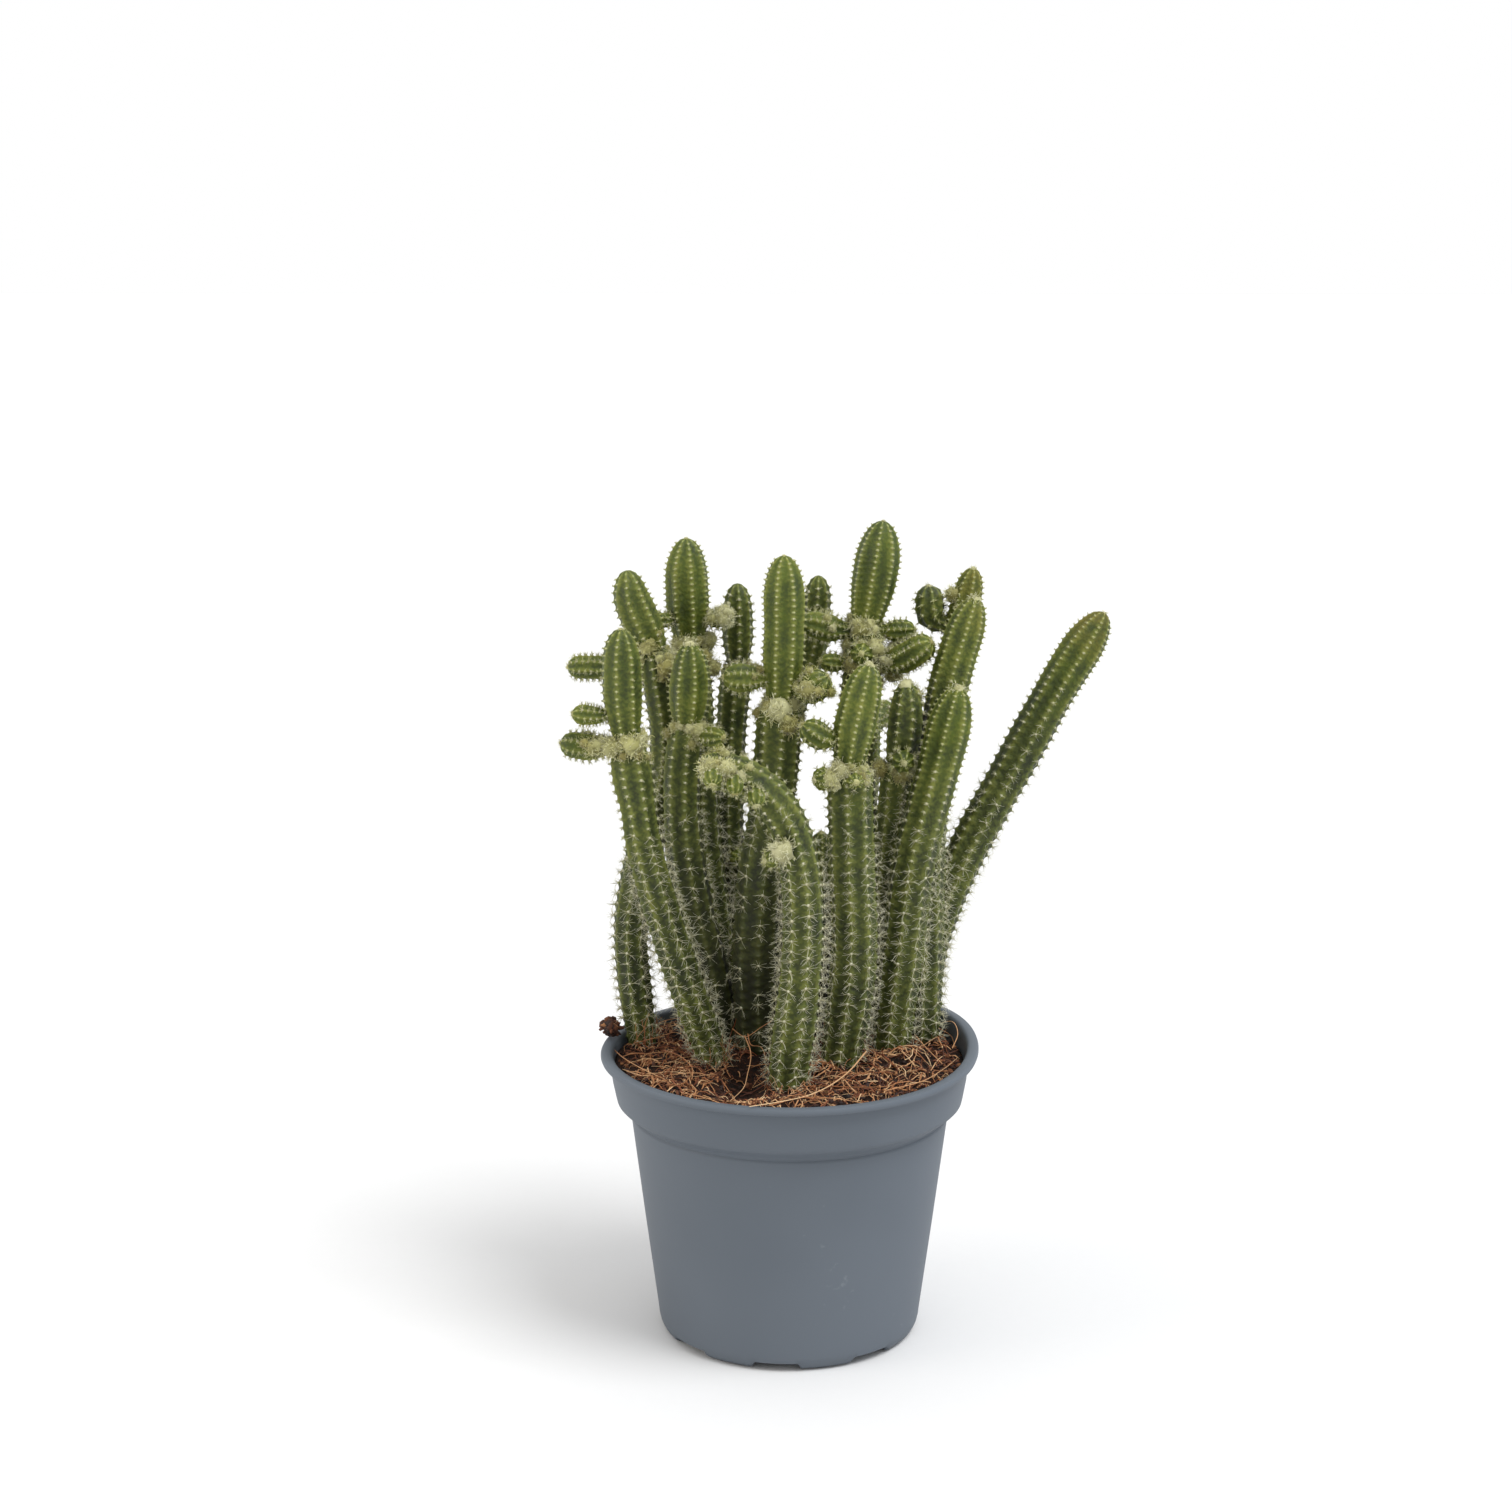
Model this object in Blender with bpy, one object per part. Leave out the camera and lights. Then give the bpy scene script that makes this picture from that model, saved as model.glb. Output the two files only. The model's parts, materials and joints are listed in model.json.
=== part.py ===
"""A mistletoe cactus of upright, slightly curved stems growing in a round plastic nursery pot.

Metres, +Z up. The origin is the centre of the pot's underside, on the surface it stands on.
The pot's front, the side with the nearest and shortest stems, faces -Y.
"""

import math

import bmesh
import bpy
from mathutils import Matrix, Vector, geometry, noise

MM = 0.001
GAP = 0.3

# The pot, in millimetres.
POT_HEIGHT = 92.0
LIP_RADIUS = 60.0
LIP_DEPTH = 2.4
COLLAR_RADIUS = 57.2
COLLAR_FOOT_RADIUS = 55.0
COLLAR_FOOT_HEIGHT = 73.6
NECK_RADIUS = 50.2
NECK_HEIGHT = 69.0
HEEL_RADIUS = 42.0
HEEL_HEIGHT = 5.5
FOOT_OUTER_RADIUS = 38.6
FOOT_INNER_RADIUS = 35.6
WALL = 1.1
FLOOR_UNDERSIDE = 3.0
PAD_RADIUS = 7.0
POT_SIDES = 48

# The gaps between the feet, and the drain hole behind each gap.
FEET = 8
FOOT_GAP_TURN = -5.6
FOOT_GAP_WIDTH = 15.0
FOOT_GAP_HEIGHT = 2.5
FOOT_GAP_SLANT = 1.2
DRAIN_RADIUS = 4.0
DRAIN_CIRCLE = 29.0
DRAIN_SIDES = 16

# The potting mix: its height at the wall, and how far it rises to the middle.
MIX_EDGE_HEIGHT = 87.4
MIX_RISE = 3.2
MIX_SURFACE_STEPS = (0.9, 0.62, 0.3)
SOCKET_TOP = 93.0

# The crumb of mix left lying on the lip.
CRUMB_CENTRE = (-57.6, 11.0, 95.6)
CRUMB_RADII = (3.7, 4.6, 3.2)
CRUMB_ROUGHNESS = 0.22

# Every tube of the plant is a stack of rings with a pole at each end.
TUBE_SIDES = 9
RING_SPACING = 12.0
TIP_ANGLES = (22, 45, 67)
ROOT_DEPTH_Z = 75.0
ROOT_SHARE = 0.72
SWELL_LENGTH = 34.0
JOINT_SHARE = 0.74
JOINT_SWELL = 7.0
NECK_SHARE = 0.58
NECK_SWELL = 0.34
POLE_RISE = 0.14
FREE_TIP = 2.3
CLOSED_TIP = 0.8
SHOOT_TIP = 1.15
SHOOT_BEND = 0.3
SHOOT_POINTS = 5
SOCKET_CLEARANCE = 0.36

# Each stem: its radius, and the points of its centre line from the root up, in millimetres.
# The root's depth is the same for all, so the first point has no height.
STEMS = {
    "front_left": (5.7, ((-20, -2), (-25, -6, 93), (-35, -13, 125), (-45, -17, 163), (-50, -19, 198))),
    "front_centre": (7.0, ((-1, -26), (0, -28, 95), (3, -32, 122), (4, -36, 148), (1, -38, 170),
                           (-5, -40, 182), (-13, -41, 189), (-27, -42, 193))),
    "front_right": (6.9, ((14, -6), (17, -10, 98), (20, -14, 128), (19, -17, 158), (18, -19, 189))),
    "near_right": (6.5, ((31, 6), (33, 3, 98), (36, 0, 128), (39, -2, 155), (46, -3, 184), (52, -4, 210))),
    "middle_right": (5.5, ((27, 21), (29, 17, 112), (31, 11, 145), (34, 7, 184))),
    "outer_right": (6.0, ((42, 14), (43, 14, 104), (43, 14, 140), (45, 14, 181), (51, 14, 212), (58, 14, 235))),
    "leaning_right": (6.4, ((38, 24), (42, 27, 96), (46, 31, 120), (57, 35, 147), (73, 38, 177),
                            (88, 39, 205), (101, 40, 226))),
    "middle": (7.0, ((-9, 10), (-11, 7, 105), (-10, 3, 141), (-5, 0, 178), (-3, -3, 206))),
    "middle_left": (5.7, ((-20, 14), (-24, 10, 108), (-32, 5, 148), (-34, 2, 176), (-32, 0, 198))),
    "tall_left": (5.9, ((-22, 32), (-23, 31, 110), (-28, 29, 150), (-30, 28, 184), (-32, 27, 220))),
    "outer_left": (5.5, ((-46, 16), (-49, 15, 100), (-51, 14, 126), (-48, 14, 147), (-42, 15, 167),
                         (-39, 15, 190), (-43, 13, 219))),
    "back_left": (4.9, ((-12, 45), (-16, 41, 115), (-20, 39, 152), (-19, 39, 190), (-17, 38, 210))),
    "tall_right": (6.0, ((15, 32), (21, 30, 115), (23, 27, 151), (21, 25, 184), (24, 24, 226))),
    "back_centre": (4.3, ((2, 45), (-2, 43, 120), (-3, 42, 165), (0, 41, 192), (7, 41, 212), (9, 40, 238))),
    "back_right": (4.8, ((27, 40), (34, 41, 115), (41, 37, 150), (46, 34, 185), (53, 31, 218), (58, 30, 242))),
    "rear_left": (5.4, ((-27, 39), (-33, 47, 120), (-37, 51, 160), (-34, 53, 203))),
    "rear_middle": (5.4, ((4, 20), (7, 16, 105), (9, 13, 135), (10, 12, 160))),
    "rear_right": (5.2, ((13, 45), (19, 54, 120), (24, 60, 160), (25, 62, 198))),
}

# These stems end in a blunt, woolly end. The others without a further segment end in a long tip.
BLUNT = ("front_centre",)
BLUNT_SHARE = 0.8

# The segment that grows on from a stem's joint: its radius, and the rest of its centre line.
TOPS = {
    "front_left": (6.1, ((-51, -20, 212), (-51, -22, 231))),
    "front_right": (6.2, ((20, -20, 203), (24, -20, 220))),
    "middle_right": (5.6, ((36, 6, 195), (36, 5, 210))),
    "middle": (6.4, ((-2, -5, 228), (-2, -6, 251))),
    "middle_left": (6.5, ((-31, 0, 211), (-31, 0, 223))),
    "tall_left": (6.9, ((-33, 26, 238), (-33, 25, 252))),
    "outer_left": (6.0, ((-49, 11, 233), (-51, 10, 244))),
    "back_left": (4.9, ((-17, 37, 223), (-17, 36, 236))),
    "tall_right": (6.8, ((27, 23, 243), (29, 22, 258))),
}

# Side shoots: the stem, how far along it, heading and rise in degrees, length and radius.
# A heading of 0 is +X and one of 90 is +Y, away from the front.
SHOOTS = (
    ("outer_left", 0.97, 178, 10, 22, 3.7),
    ("front_left", 0.975, 172, 14, 15, 4.2),
    ("front_left_top", 0.18, 186, 12, 10, 3.2),
    ("tall_left_top", 0.16, -20, 20, 9, 2.8),
    ("tall_left_top", 0.20, 215, 10, 6, 2.4),
    ("middle_top", 0.13, 187, 0, 12, 4.7),
    ("middle_top", 0.06, -15, 45, 11, 4.9),
    ("tall_right", 0.98, 190, 12, 15, 4.3),
    ("tall_right", 0.985, -5, 10, 10, 3.3),
    ("tall_right", 0.925, -28, 40, 20, 4.5),
    ("tall_right", 0.91, 200, 5, 8, 2.9),
    ("tall_right", 0.94, -95, 15, 7, 3.7),
    ("front_right_top", 0.20, 188, 30, 11, 4.0),
    ("front_right", 0.975, 212, 5, 6, 3.6),
    ("front_right", 0.975, -80, 0, 4, 2.6),
    ("middle_right_top", 0.08, -85, 5, 7, 3.7),
    ("middle_left", 0.98, -35, 15, 9, 3.1),
    ("front_centre", 0.975, -90, -35, 6, 2.8),
    ("front_centre", 0.925, -90, -65, 6, 2.7),
    ("front_centre", 0.87, -90, -45, 6, 2.7),
    ("front_centre", 0.69, 215, 10, 5, 2.8),
    ("back_left", 0.53, -70, 10, 6, 3.0),
    ("back_right", 0.89, 180, 78, 16, 4.6),
    ("rear_left", 0.86, 120, 45, 14, 4.0),
    ("rear_right", 0.90, 60, 40, 12, 3.8),
)

POT_GREY = (0.152, 0.181, 0.205)
MIX_BROWN = (0.060, 0.026, 0.012)
STEM_GREEN = (0.095, 0.135, 0.045)
YOUNG_GREEN = (0.170, 0.235, 0.050)


def clear_scene():
    for thing in list(bpy.data.objects):
        bpy.data.objects.remove(thing)


def finish(name, colour, roughness):
    """A Principled material of one colour."""
    material = bpy.data.materials.new(name)
    material.use_nodes = True
    shader = material.node_tree.nodes["Principled BSDF"]
    shader.inputs["Base Color"].default_value = (*colour, 1.0)
    shader.inputs["Roughness"].default_value = roughness
    shader.inputs["Metallic"].default_value = 0.0
    return material


def place(name, shape, material):
    """Turns a bmesh in millimetres into an object in metres."""
    bmesh.ops.remove_doubles(shape, verts=shape.verts, dist=1e-4)
    bmesh.ops.recalc_face_normals(shape, faces=shape.faces)
    shape.transform(Matrix.Scale(MM, 4))
    mesh = bpy.data.meshes.new(name)
    shape.to_mesh(mesh)
    shape.free()
    mesh.shade_smooth()
    mesh.set_sharp_from_angle(angle=math.radians(40))
    mesh.materials.append(material)
    thing = bpy.data.objects.new(name, mesh)
    bpy.context.collection.objects.link(thing)
    return thing


def cut(target, cutter):
    """Cuts a hidden helper out of a piece."""
    cutter.hide_render = True
    cutter.display_type = "WIRE"
    boolean = target.modifiers.new("cut", "BOOLEAN")
    boolean.object = cutter
    boolean.operation = "DIFFERENCE"
    boolean.solver = "EXACT"


def turned(outline):
    """Spins an outline of (radius, height) points round the Z axis."""
    shape = bmesh.new()
    corners = [shape.verts.new((radius, 0, height)) for radius, height in outline]
    edges = [shape.edges.new(pair) for pair in zip(corners, corners[1:])]
    bmesh.ops.spin(
        shape,
        geom=corners + edges,
        axis=(0, 0, 1),
        cent=(0, 0, 0),
        angle=math.tau,
        steps=POT_SIDES,
        use_merge=True,
    )
    return shape


# The pot and what it holds.


def pot_outline():
    """The pot's section, up its outside, over the lip and down its inside to the floor."""
    lip_foot = POT_HEIGHT - LIP_DEPTH
    floor = FLOOR_UNDERSIDE + WALL
    outside = [
        (0, 0),
        (PAD_RADIUS, 0),
        (PAD_RADIUS + 0.5, FLOOR_UNDERSIDE),
        (FOOT_INNER_RADIUS - 0.4, FLOOR_UNDERSIDE),
        (FOOT_INNER_RADIUS, 0),
        (FOOT_OUTER_RADIUS, 0),
        (HEEL_RADIUS - 1.4, 1.3),
        (HEEL_RADIUS - 0.4, 3.2),
        (HEEL_RADIUS, HEEL_HEIGHT),
        (NECK_RADIUS, NECK_HEIGHT),
        (COLLAR_FOOT_RADIUS, COLLAR_FOOT_HEIGHT),
        (COLLAR_RADIUS, lip_foot),
        (LIP_RADIUS - 0.6, lip_foot),
        (LIP_RADIUS, lip_foot + 0.6),
        (LIP_RADIUS, POT_HEIGHT - 0.7),
        (LIP_RADIUS - 0.7, POT_HEIGHT),
    ]
    inside = [
        (COLLAR_RADIUS - WALL + 0.5, POT_HEIGHT),
        (COLLAR_RADIUS - WALL, POT_HEIGHT - 0.8),
        (COLLAR_FOOT_RADIUS - WALL, COLLAR_FOOT_HEIGHT + 0.4),
        (NECK_RADIUS - WALL, NECK_HEIGHT + 0.4),
        (HEEL_RADIUS - WALL, HEEL_HEIGHT + 1.2),
        (HEEL_RADIUS - WALL - 1.5, floor),
        (0, floor),
    ]
    return outside + inside


def foot_gap(angle):
    """A wedge that cuts one gap through the foot ring, wider at the bottom."""
    shape = bmesh.new()
    bmesh.ops.create_cube(shape, size=1)
    half_width = FOOT_GAP_WIDTH / 2
    for corner in shape.verts:
        above = corner.co.z > 0
        side = math.copysign(half_width if above else half_width + FOOT_GAP_SLANT, corner.co.x)
        reach = -HEEL_RADIUS - 4 if corner.co.y < 0 else 4 - FOOT_INNER_RADIUS
        corner.co = (side, reach, FOOT_GAP_HEIGHT if above else -FOOT_GAP_SLANT)
    bmesh.ops.rotate(shape, verts=shape.verts, cent=(0, 0, 0), matrix=Matrix.Rotation(angle, 3, "Z"))
    return shape


def drain_hole(angle):
    """A drill that cuts one drain hole through the floor."""
    shape = bmesh.new()
    where = Matrix.Rotation(angle, 4, "Z") @ Matrix.Translation((0, -DRAIN_CIRCLE, FLOOR_UNDERSIDE))
    bmesh.ops.create_cone(
        shape,
        cap_ends=True,
        segments=DRAIN_SIDES,
        radius1=DRAIN_RADIUS,
        radius2=DRAIN_RADIUS,
        depth=4 * WALL,
        matrix=where,
    )
    return shape


def make_pot():
    plastic = finish("pot_plastic", POT_GREY, 0.45)
    pot = place("pot", turned(pot_outline()), plastic)
    for foot in range(FEET):
        angle = math.radians(FOOT_GAP_TURN + foot * 360 / FEET)
        cut(pot, place(f"cutter_gap_{foot}", foot_gap(angle), plastic))
        cut(pot, place(f"cutter_drain_{foot}", drain_hole(angle), plastic))


def mix_outline():
    """The potting mix fills the pot to just under the lip and rises a little to the middle."""
    floor = FLOOR_UNDERSIDE + WALL + GAP
    inset = WALL + 1.3 * GAP
    lean = (COLLAR_RADIUS - COLLAR_FOOT_RADIUS) / (POT_HEIGHT - LIP_DEPTH - COLLAR_FOOT_HEIGHT)
    edge = COLLAR_FOOT_RADIUS - inset + lean * (MIX_EDGE_HEIGHT - COLLAR_FOOT_HEIGHT)
    surface = [
        (edge * share, MIX_EDGE_HEIGHT + MIX_RISE * (1 - share * share))
        for share in MIX_SURFACE_STEPS
    ]
    return [
        (0, floor),
        (HEEL_RADIUS - inset - 1.5, floor),
        (HEEL_RADIUS - inset, HEEL_HEIGHT + 1.5),
        (NECK_RADIUS - inset, NECK_HEIGHT + 0.6),
        (COLLAR_FOOT_RADIUS - inset, COLLAR_FOOT_HEIGHT + 0.6),
        (edge, MIX_EDGE_HEIGHT),
        *surface,
        (0, MIX_EDGE_HEIGHT + MIX_RISE),
    ]


def make_mix():
    """The mix has a socket for the root of every stem."""
    brown = finish("potting_mix", MIX_BROWN, 0.95)
    mix = place("potting_mix", turned(mix_outline()), brown)
    for name, (girth, points) in STEMS.items():
        line = smooth_line(with_root(points))
        clear = next(index for index, point in enumerate(line) if point.z > SOCKET_TOP)
        low = line[: clear + 1]
        low[0] = low[0] - Vector((0, 0, 1.5 * GAP))
        sides = [root_girth(girth, low, index) + SOCKET_CLEARANCE for index in range(len(low))]
        cut(mix, place(f"cutter_{name}", tube(low, sides, POLE_RISE * sides[0], 0), brown))


def make_crumb():
    """A crumb of mix on the left of the lip."""
    shape = bmesh.new()
    bmesh.ops.create_icosphere(shape, subdivisions=2, radius=1)
    for corner in shape.verts:
        bump = 1 + CRUMB_ROUGHNESS * noise.noise(corner.co * 1.9)
        corner.co = Vector(a * b for a, b in zip(corner.co, CRUMB_RADII)) * bump
    bottom = POT_HEIGHT + GAP - CRUMB_CENTRE[2]
    for corner in shape.verts:
        corner.co.z = max(corner.co.z, bottom)
    bmesh.ops.translate(shape, verts=shape.verts, vec=CRUMB_CENTRE)
    place("rim_crumb", shape, finish("rim_crumb", MIX_BROWN, 0.95))


# The plant.


def with_root(points):
    """A stem's first point is given by its place only: the root's depth is the same for all."""
    (x, y), *rest = points
    return [Vector((x, y, ROOT_DEPTH_Z))] + [Vector(point) for point in rest]


def smooth_line(points):
    """Even steps along a smooth curve through the points."""
    ends = [2 * points[0] - points[1], *points, 2 * points[-1] - points[-2]]
    dense = [points[0]]
    for before, start, end, after in zip(ends, ends[1:], ends[2:], ends[3:]):
        reach = (end - start).length / 3
        leave = start + (end - before).normalized() * reach
        arrive = end - (after - start).normalized() * reach
        dense += geometry.interpolate_bezier(start, leave, arrive, end, 17)[1:]
    lengths = [0.0]
    for start, end in zip(dense, dense[1:]):
        lengths.append(lengths[-1] + (end - start).length)
    steps = max(3, round(lengths[-1] / RING_SPACING))
    return [at_length(dense, lengths, lengths[-1] * step / steps) for step in range(steps + 1)]


def at_length(line, lengths, wanted):
    """The point that lies a given distance along a line."""
    for start, end, low, high in zip(line, line[1:], lengths, lengths[1:]):
        if wanted <= high + 1e-9:
            return start.lerp(end, (wanted - low) / (high - low))
    return line[-1]


def lengths_along(line):
    lengths = [0.0]
    for start, end in zip(line, line[1:]):
        lengths.append(lengths[-1] + (end - start).length)
    return lengths


def ease(share):
    share = min(1.0, max(0.0, share))
    return share * share * (3 - 2 * share)


def root_girth(girth, line, index):
    """A stem is thin at its root and swells to its full radius above the mix."""
    above = line[index].z - ROOT_DEPTH_Z
    return girth * (ROOT_SHARE + (1 - ROOT_SHARE) * ease(above / SWELL_LENGTH))


def tube(line, sides, base_pole, tip_pole):
    """Rings of TUBE_SIDES corners along a line, each end closed by a fan round a pole."""
    shape = bmesh.new()
    rings = []
    turn = (line[1] - line[0]).to_track_quat("Z", "Y")
    for index, centre in enumerate(line):
        before = line[max(index - 1, 0)]
        after = line[min(index + 1, len(line) - 1)]
        along = (after - before).normalized()
        turn = (turn @ Vector((0, 0, 1))).rotation_difference(along) @ turn
        is_end = index in (0, len(line) - 1)
        ring = bmesh.ops.create_circle(
            shape,
            cap_ends=is_end,
            cap_tris=is_end,
            segments=TUBE_SIDES,
            radius=sides[index],
            matrix=Matrix.Translation(centre) @ turn.to_matrix().to_4x4(),
        )["verts"]
        if is_end:
            pole = max(ring, key=lambda corner: len(corner.link_edges))
            pole.co += along * (tip_pole if index else -base_pole)
            ring = [corner for corner in ring if corner is not pole]
        rings.append(ring)
    for low, high in zip(rings, rings[1:]):
        edges = rim_edges(low) + rim_edges(high)
        bmesh.ops.bridge_loops(shape, edges=edges)
    return shape


def rim_edges(ring):
    """The edges that join a ring's own corners."""
    corners = set(ring)
    return list({edge for corner in ring for edge in corner.link_edges if set(edge.verts) <= corners})


def limb(name, line, girth_at, girth, tip, material):
    """One grown segment: its sides from girth_at, and a rounded tip of tip times its radius."""
    lengths = lengths_along(line)
    reach = girth * tip
    body_end = lengths[-1] - reach
    body = [point for point, along in zip(line, lengths) if along < body_end - 0.4 * RING_SPACING]
    if len(body) < 2:
        body = [line[0], at_length(line, lengths, 0.5 * max(body_end, 0.3 * girth))]
    body.append(at_length(line, lengths, max(body_end, 0.6 * girth)))
    sides = [girth_at(index, body) for index in range(len(body))]
    end = sides[-1]
    start = lengths_along(body)[-1]
    for angle in reversed(TIP_ANGLES):
        radians = math.radians(angle)
        body.append(at_length(line, lengths, start + (lengths[-1] - start) * math.cos(radians)))
        sides.append(end * math.sin(radians))
    last = (line[-1] - body[-1]).length
    place(name, tube(body, sides, POLE_RISE * sides[0], last), material)
    return body, sides


def make_stem(name, material):
    girth, points = STEMS[name]
    line = smooth_line(with_root(points))
    blunt = name in TOPS or name in BLUNT
    tip = CLOSED_TIP if blunt else FREE_TIP

    def girth_at(index, body):
        return root_girth(girth, body, index) * end_share(name, index, body)

    return line, limb(name, line, girth_at, girth, tip, material)


def end_share(name, index, body):
    """A blunt stem thins evenly towards its end."""
    if name not in BLUNT:
        return 1.0
    return 1 - (1 - BLUNT_SHARE) * index / (len(body) - 1)


def make_top(name, line, material):
    """The next segment starts on the stem's end and swells from a narrow joint."""
    girth, points = TOPS[name]
    along = (line[-1] - line[-2]).normalized()
    start = line[-1] + along * (GAP + POLE_RISE * JOINT_SHARE * girth)
    upper = smooth_line([start] + [Vector(point) for point in points])

    def girth_at(index, body):
        grown = lengths_along(body)[index] / JOINT_SWELL
        return girth * (JOINT_SHARE + (1 - JOINT_SHARE) * ease(grown))

    return limb(f"{name}_top", upper, girth_at, girth, FREE_TIP, material)


def side_at(body, sides, where):
    """The radius of a limb at a given distance along it."""
    lengths = lengths_along(body)
    for low, high, start, end in zip(lengths, lengths[1:], sides, sides[1:]):
        if where <= high:
            return start + (end - start) * (where - low) / (high - low)
    return sides[-1]


def shoot_line(parent, share, heading, rise, length, girth):
    """A side shoot leaves its stem squarely and then bends towards its rise."""
    body, sides = parent
    lengths = lengths_along(body)
    where = lengths[-1] * share
    root = at_length(body, lengths, where)
    ahead = at_length(body, lengths, min(lengths[-1], where + 1))
    behind = at_length(body, lengths, where - 1)
    along = (ahead - behind).normalized()
    flat = Vector((math.cos(math.radians(heading)), math.sin(math.radians(heading)), 0))
    out = (flat - along * flat.dot(along)).normalized()
    aim = Matrix.Rotation(math.radians(rise), 3, out.cross(Vector((0, 0, 1))).normalized()) @ out
    start = root + out * (side_at(body, sides, where) + GAP + POLE_RISE * NECK_SHARE * girth)
    bend = start + out * (SHOOT_BEND * length)
    end = bend + aim * ((1 - SHOOT_BEND) * length)
    return list(geometry.interpolate_bezier(start, start.lerp(bend, 0.7), bend, end, SHOOT_POINTS))


def make_shoot(name, parent, numbers, material):
    share, heading, rise, length, girth = numbers
    line = shoot_line(parent, share, heading, rise, length, girth)

    def girth_at(index, body):
        grown = lengths_along(body)[index] / (NECK_SWELL * length)
        return girth * (NECK_SHARE + (1 - NECK_SHARE) * ease(grown))

    limb(name, line, girth_at, girth, SHOOT_TIP, material)


def make_plant():
    grown = {}
    for name in STEMS:
        line, grown[name] = make_stem(name, finish(f"{name}_skin", STEM_GREEN, 0.6))
        if name in TOPS:
            grown[f"{name}_top"] = make_top(name, line, finish(f"{name}_top_skin", YOUNG_GREEN, 0.55))
    counts = {}
    for parent, *numbers in SHOOTS:
        counts[parent] = counts.get(parent, 0) + 1
        name = f"{parent}_shoot_{counts[parent]}"
        make_shoot(name, grown[parent], numbers, finish(f"{name}_skin", YOUNG_GREEN, 0.55))


clear_scene()
make_pot()
make_mix()
make_crumb()
make_plant()
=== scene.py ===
# %% [markdown]
# # A mistletoe cactus in a nursery pot
# The plant is a crowd of ribbed green stems, each set with small woolly areoles and fine bristles.
# They stand in a thin grey plastic pot, full of brown coir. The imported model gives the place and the
# girth of every limb. This lesson keeps those sizes and grows the fine detail on them.

import json
import math
import random

import bmesh
import bpy
import numpy as np
from mathutils import Matrix, Vector, noise

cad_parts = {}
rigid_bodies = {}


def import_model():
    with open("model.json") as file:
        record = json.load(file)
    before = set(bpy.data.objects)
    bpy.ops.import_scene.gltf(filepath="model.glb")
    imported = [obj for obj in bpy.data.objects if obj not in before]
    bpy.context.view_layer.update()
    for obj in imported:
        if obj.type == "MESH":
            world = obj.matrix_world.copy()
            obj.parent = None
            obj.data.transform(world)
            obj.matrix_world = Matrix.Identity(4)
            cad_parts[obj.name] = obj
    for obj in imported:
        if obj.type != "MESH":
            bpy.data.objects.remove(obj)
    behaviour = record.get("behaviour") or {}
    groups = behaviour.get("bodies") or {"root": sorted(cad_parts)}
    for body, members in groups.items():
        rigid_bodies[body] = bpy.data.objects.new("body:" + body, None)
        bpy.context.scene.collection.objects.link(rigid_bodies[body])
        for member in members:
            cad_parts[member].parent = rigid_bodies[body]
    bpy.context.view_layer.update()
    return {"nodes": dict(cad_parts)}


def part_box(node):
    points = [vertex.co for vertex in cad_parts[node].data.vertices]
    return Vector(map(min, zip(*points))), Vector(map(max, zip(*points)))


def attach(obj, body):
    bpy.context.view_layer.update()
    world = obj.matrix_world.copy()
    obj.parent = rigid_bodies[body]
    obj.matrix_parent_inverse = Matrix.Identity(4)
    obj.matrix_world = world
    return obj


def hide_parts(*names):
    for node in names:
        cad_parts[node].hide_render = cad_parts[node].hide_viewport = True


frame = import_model()
MM = 0.001
print("limbs, pot and mix:", len(frame["nodes"]), "nodes")

# %% [markdown]
# A shape is worked on as a bmesh and kept as a mesh, and every finished piece is a mesh at the origin.
# One helper turns a bmesh into an object, puts it on the root body, gives it its finishes and hides
# the plain solids it stands for.

# %% From a bmesh to a finished piece
def as_mesh(shape, name):
    """The mesh of a bmesh that is ready, and is let go."""
    mesh = bpy.data.meshes.new(name)
    shape.to_mesh(mesh)
    shape.free()
    return mesh


def make_piece(name, shape, finishes, slot, *nodes):
    mesh = as_mesh(shape, name)
    mesh.shade_smooth()
    for finish in finishes:
        mesh.materials.append(finish.material)
    piece = bpy.data.objects.new(name, mesh)
    bpy.context.scene.collection.objects.link(piece)
    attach(piece, "root")
    if nodes:
        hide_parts(*nodes)
    return piece


# %% [markdown]
# ## Finishes
# A finish is a Principled material. What changes over a surface is written as sums on sockets: a Wire
# is a socket that can stand in a sum, and each operator adds one Math node. Every other node comes from
# one method, Finish.node, which takes its type, its settings and then the values or links of its sockets.

# %% A socket that can stand in a sum
class Wire:
    def __init__(self, finish, socket):
        self.finish, self.socket = finish, socket

    def sum(self, operation, *values):
        return self.finish.node("ShaderNodeMath", {"operation": operation}, dict(enumerate(values)))

    def __add__(self, other):
        return self.sum("ADD", self, other)

    def __sub__(self, other):
        return self.sum("SUBTRACT", self, other)

    def __rsub__(self, other):
        return self.sum("SUBTRACT", other, self)

    def __mul__(self, other):
        return self.sum("MULTIPLY", self, other)

    def __truediv__(self, other):
        return self.sum("DIVIDE", self, other)

    def __pow__(self, other):
        return self.sum("POWER", self, other)

    def __mod__(self, other):
        return self.sum("FLOORED_MODULO", self, other)

    __radd__ = __add__
    __rmul__ = __mul__

    def whole(self):
        """The whole number below."""
        return self.sum("FLOOR", self)

    def from_whole(self):
        """0 at each whole number, 1 half way between two of them."""
        return self.sum("PINGPONG", self, 0.5) * 2

    def fade(self, start, end):
        """Eases from 0 at start to 1 at end."""
        limits = {"Value": self, "From Min": start, "From Max": end}
        return self.finish.node("ShaderNodeMapRange", {"interpolation_type": "SMOOTHSTEP"}, limits)

    def between(self, low, high):
        """The colour low where this wire is 0, and high where it is 1."""
        return self.finish.node("ShaderNodeMix", {"data_type": "RGBA"}, {0: self, 6: low, 7: high}, 2)


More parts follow.
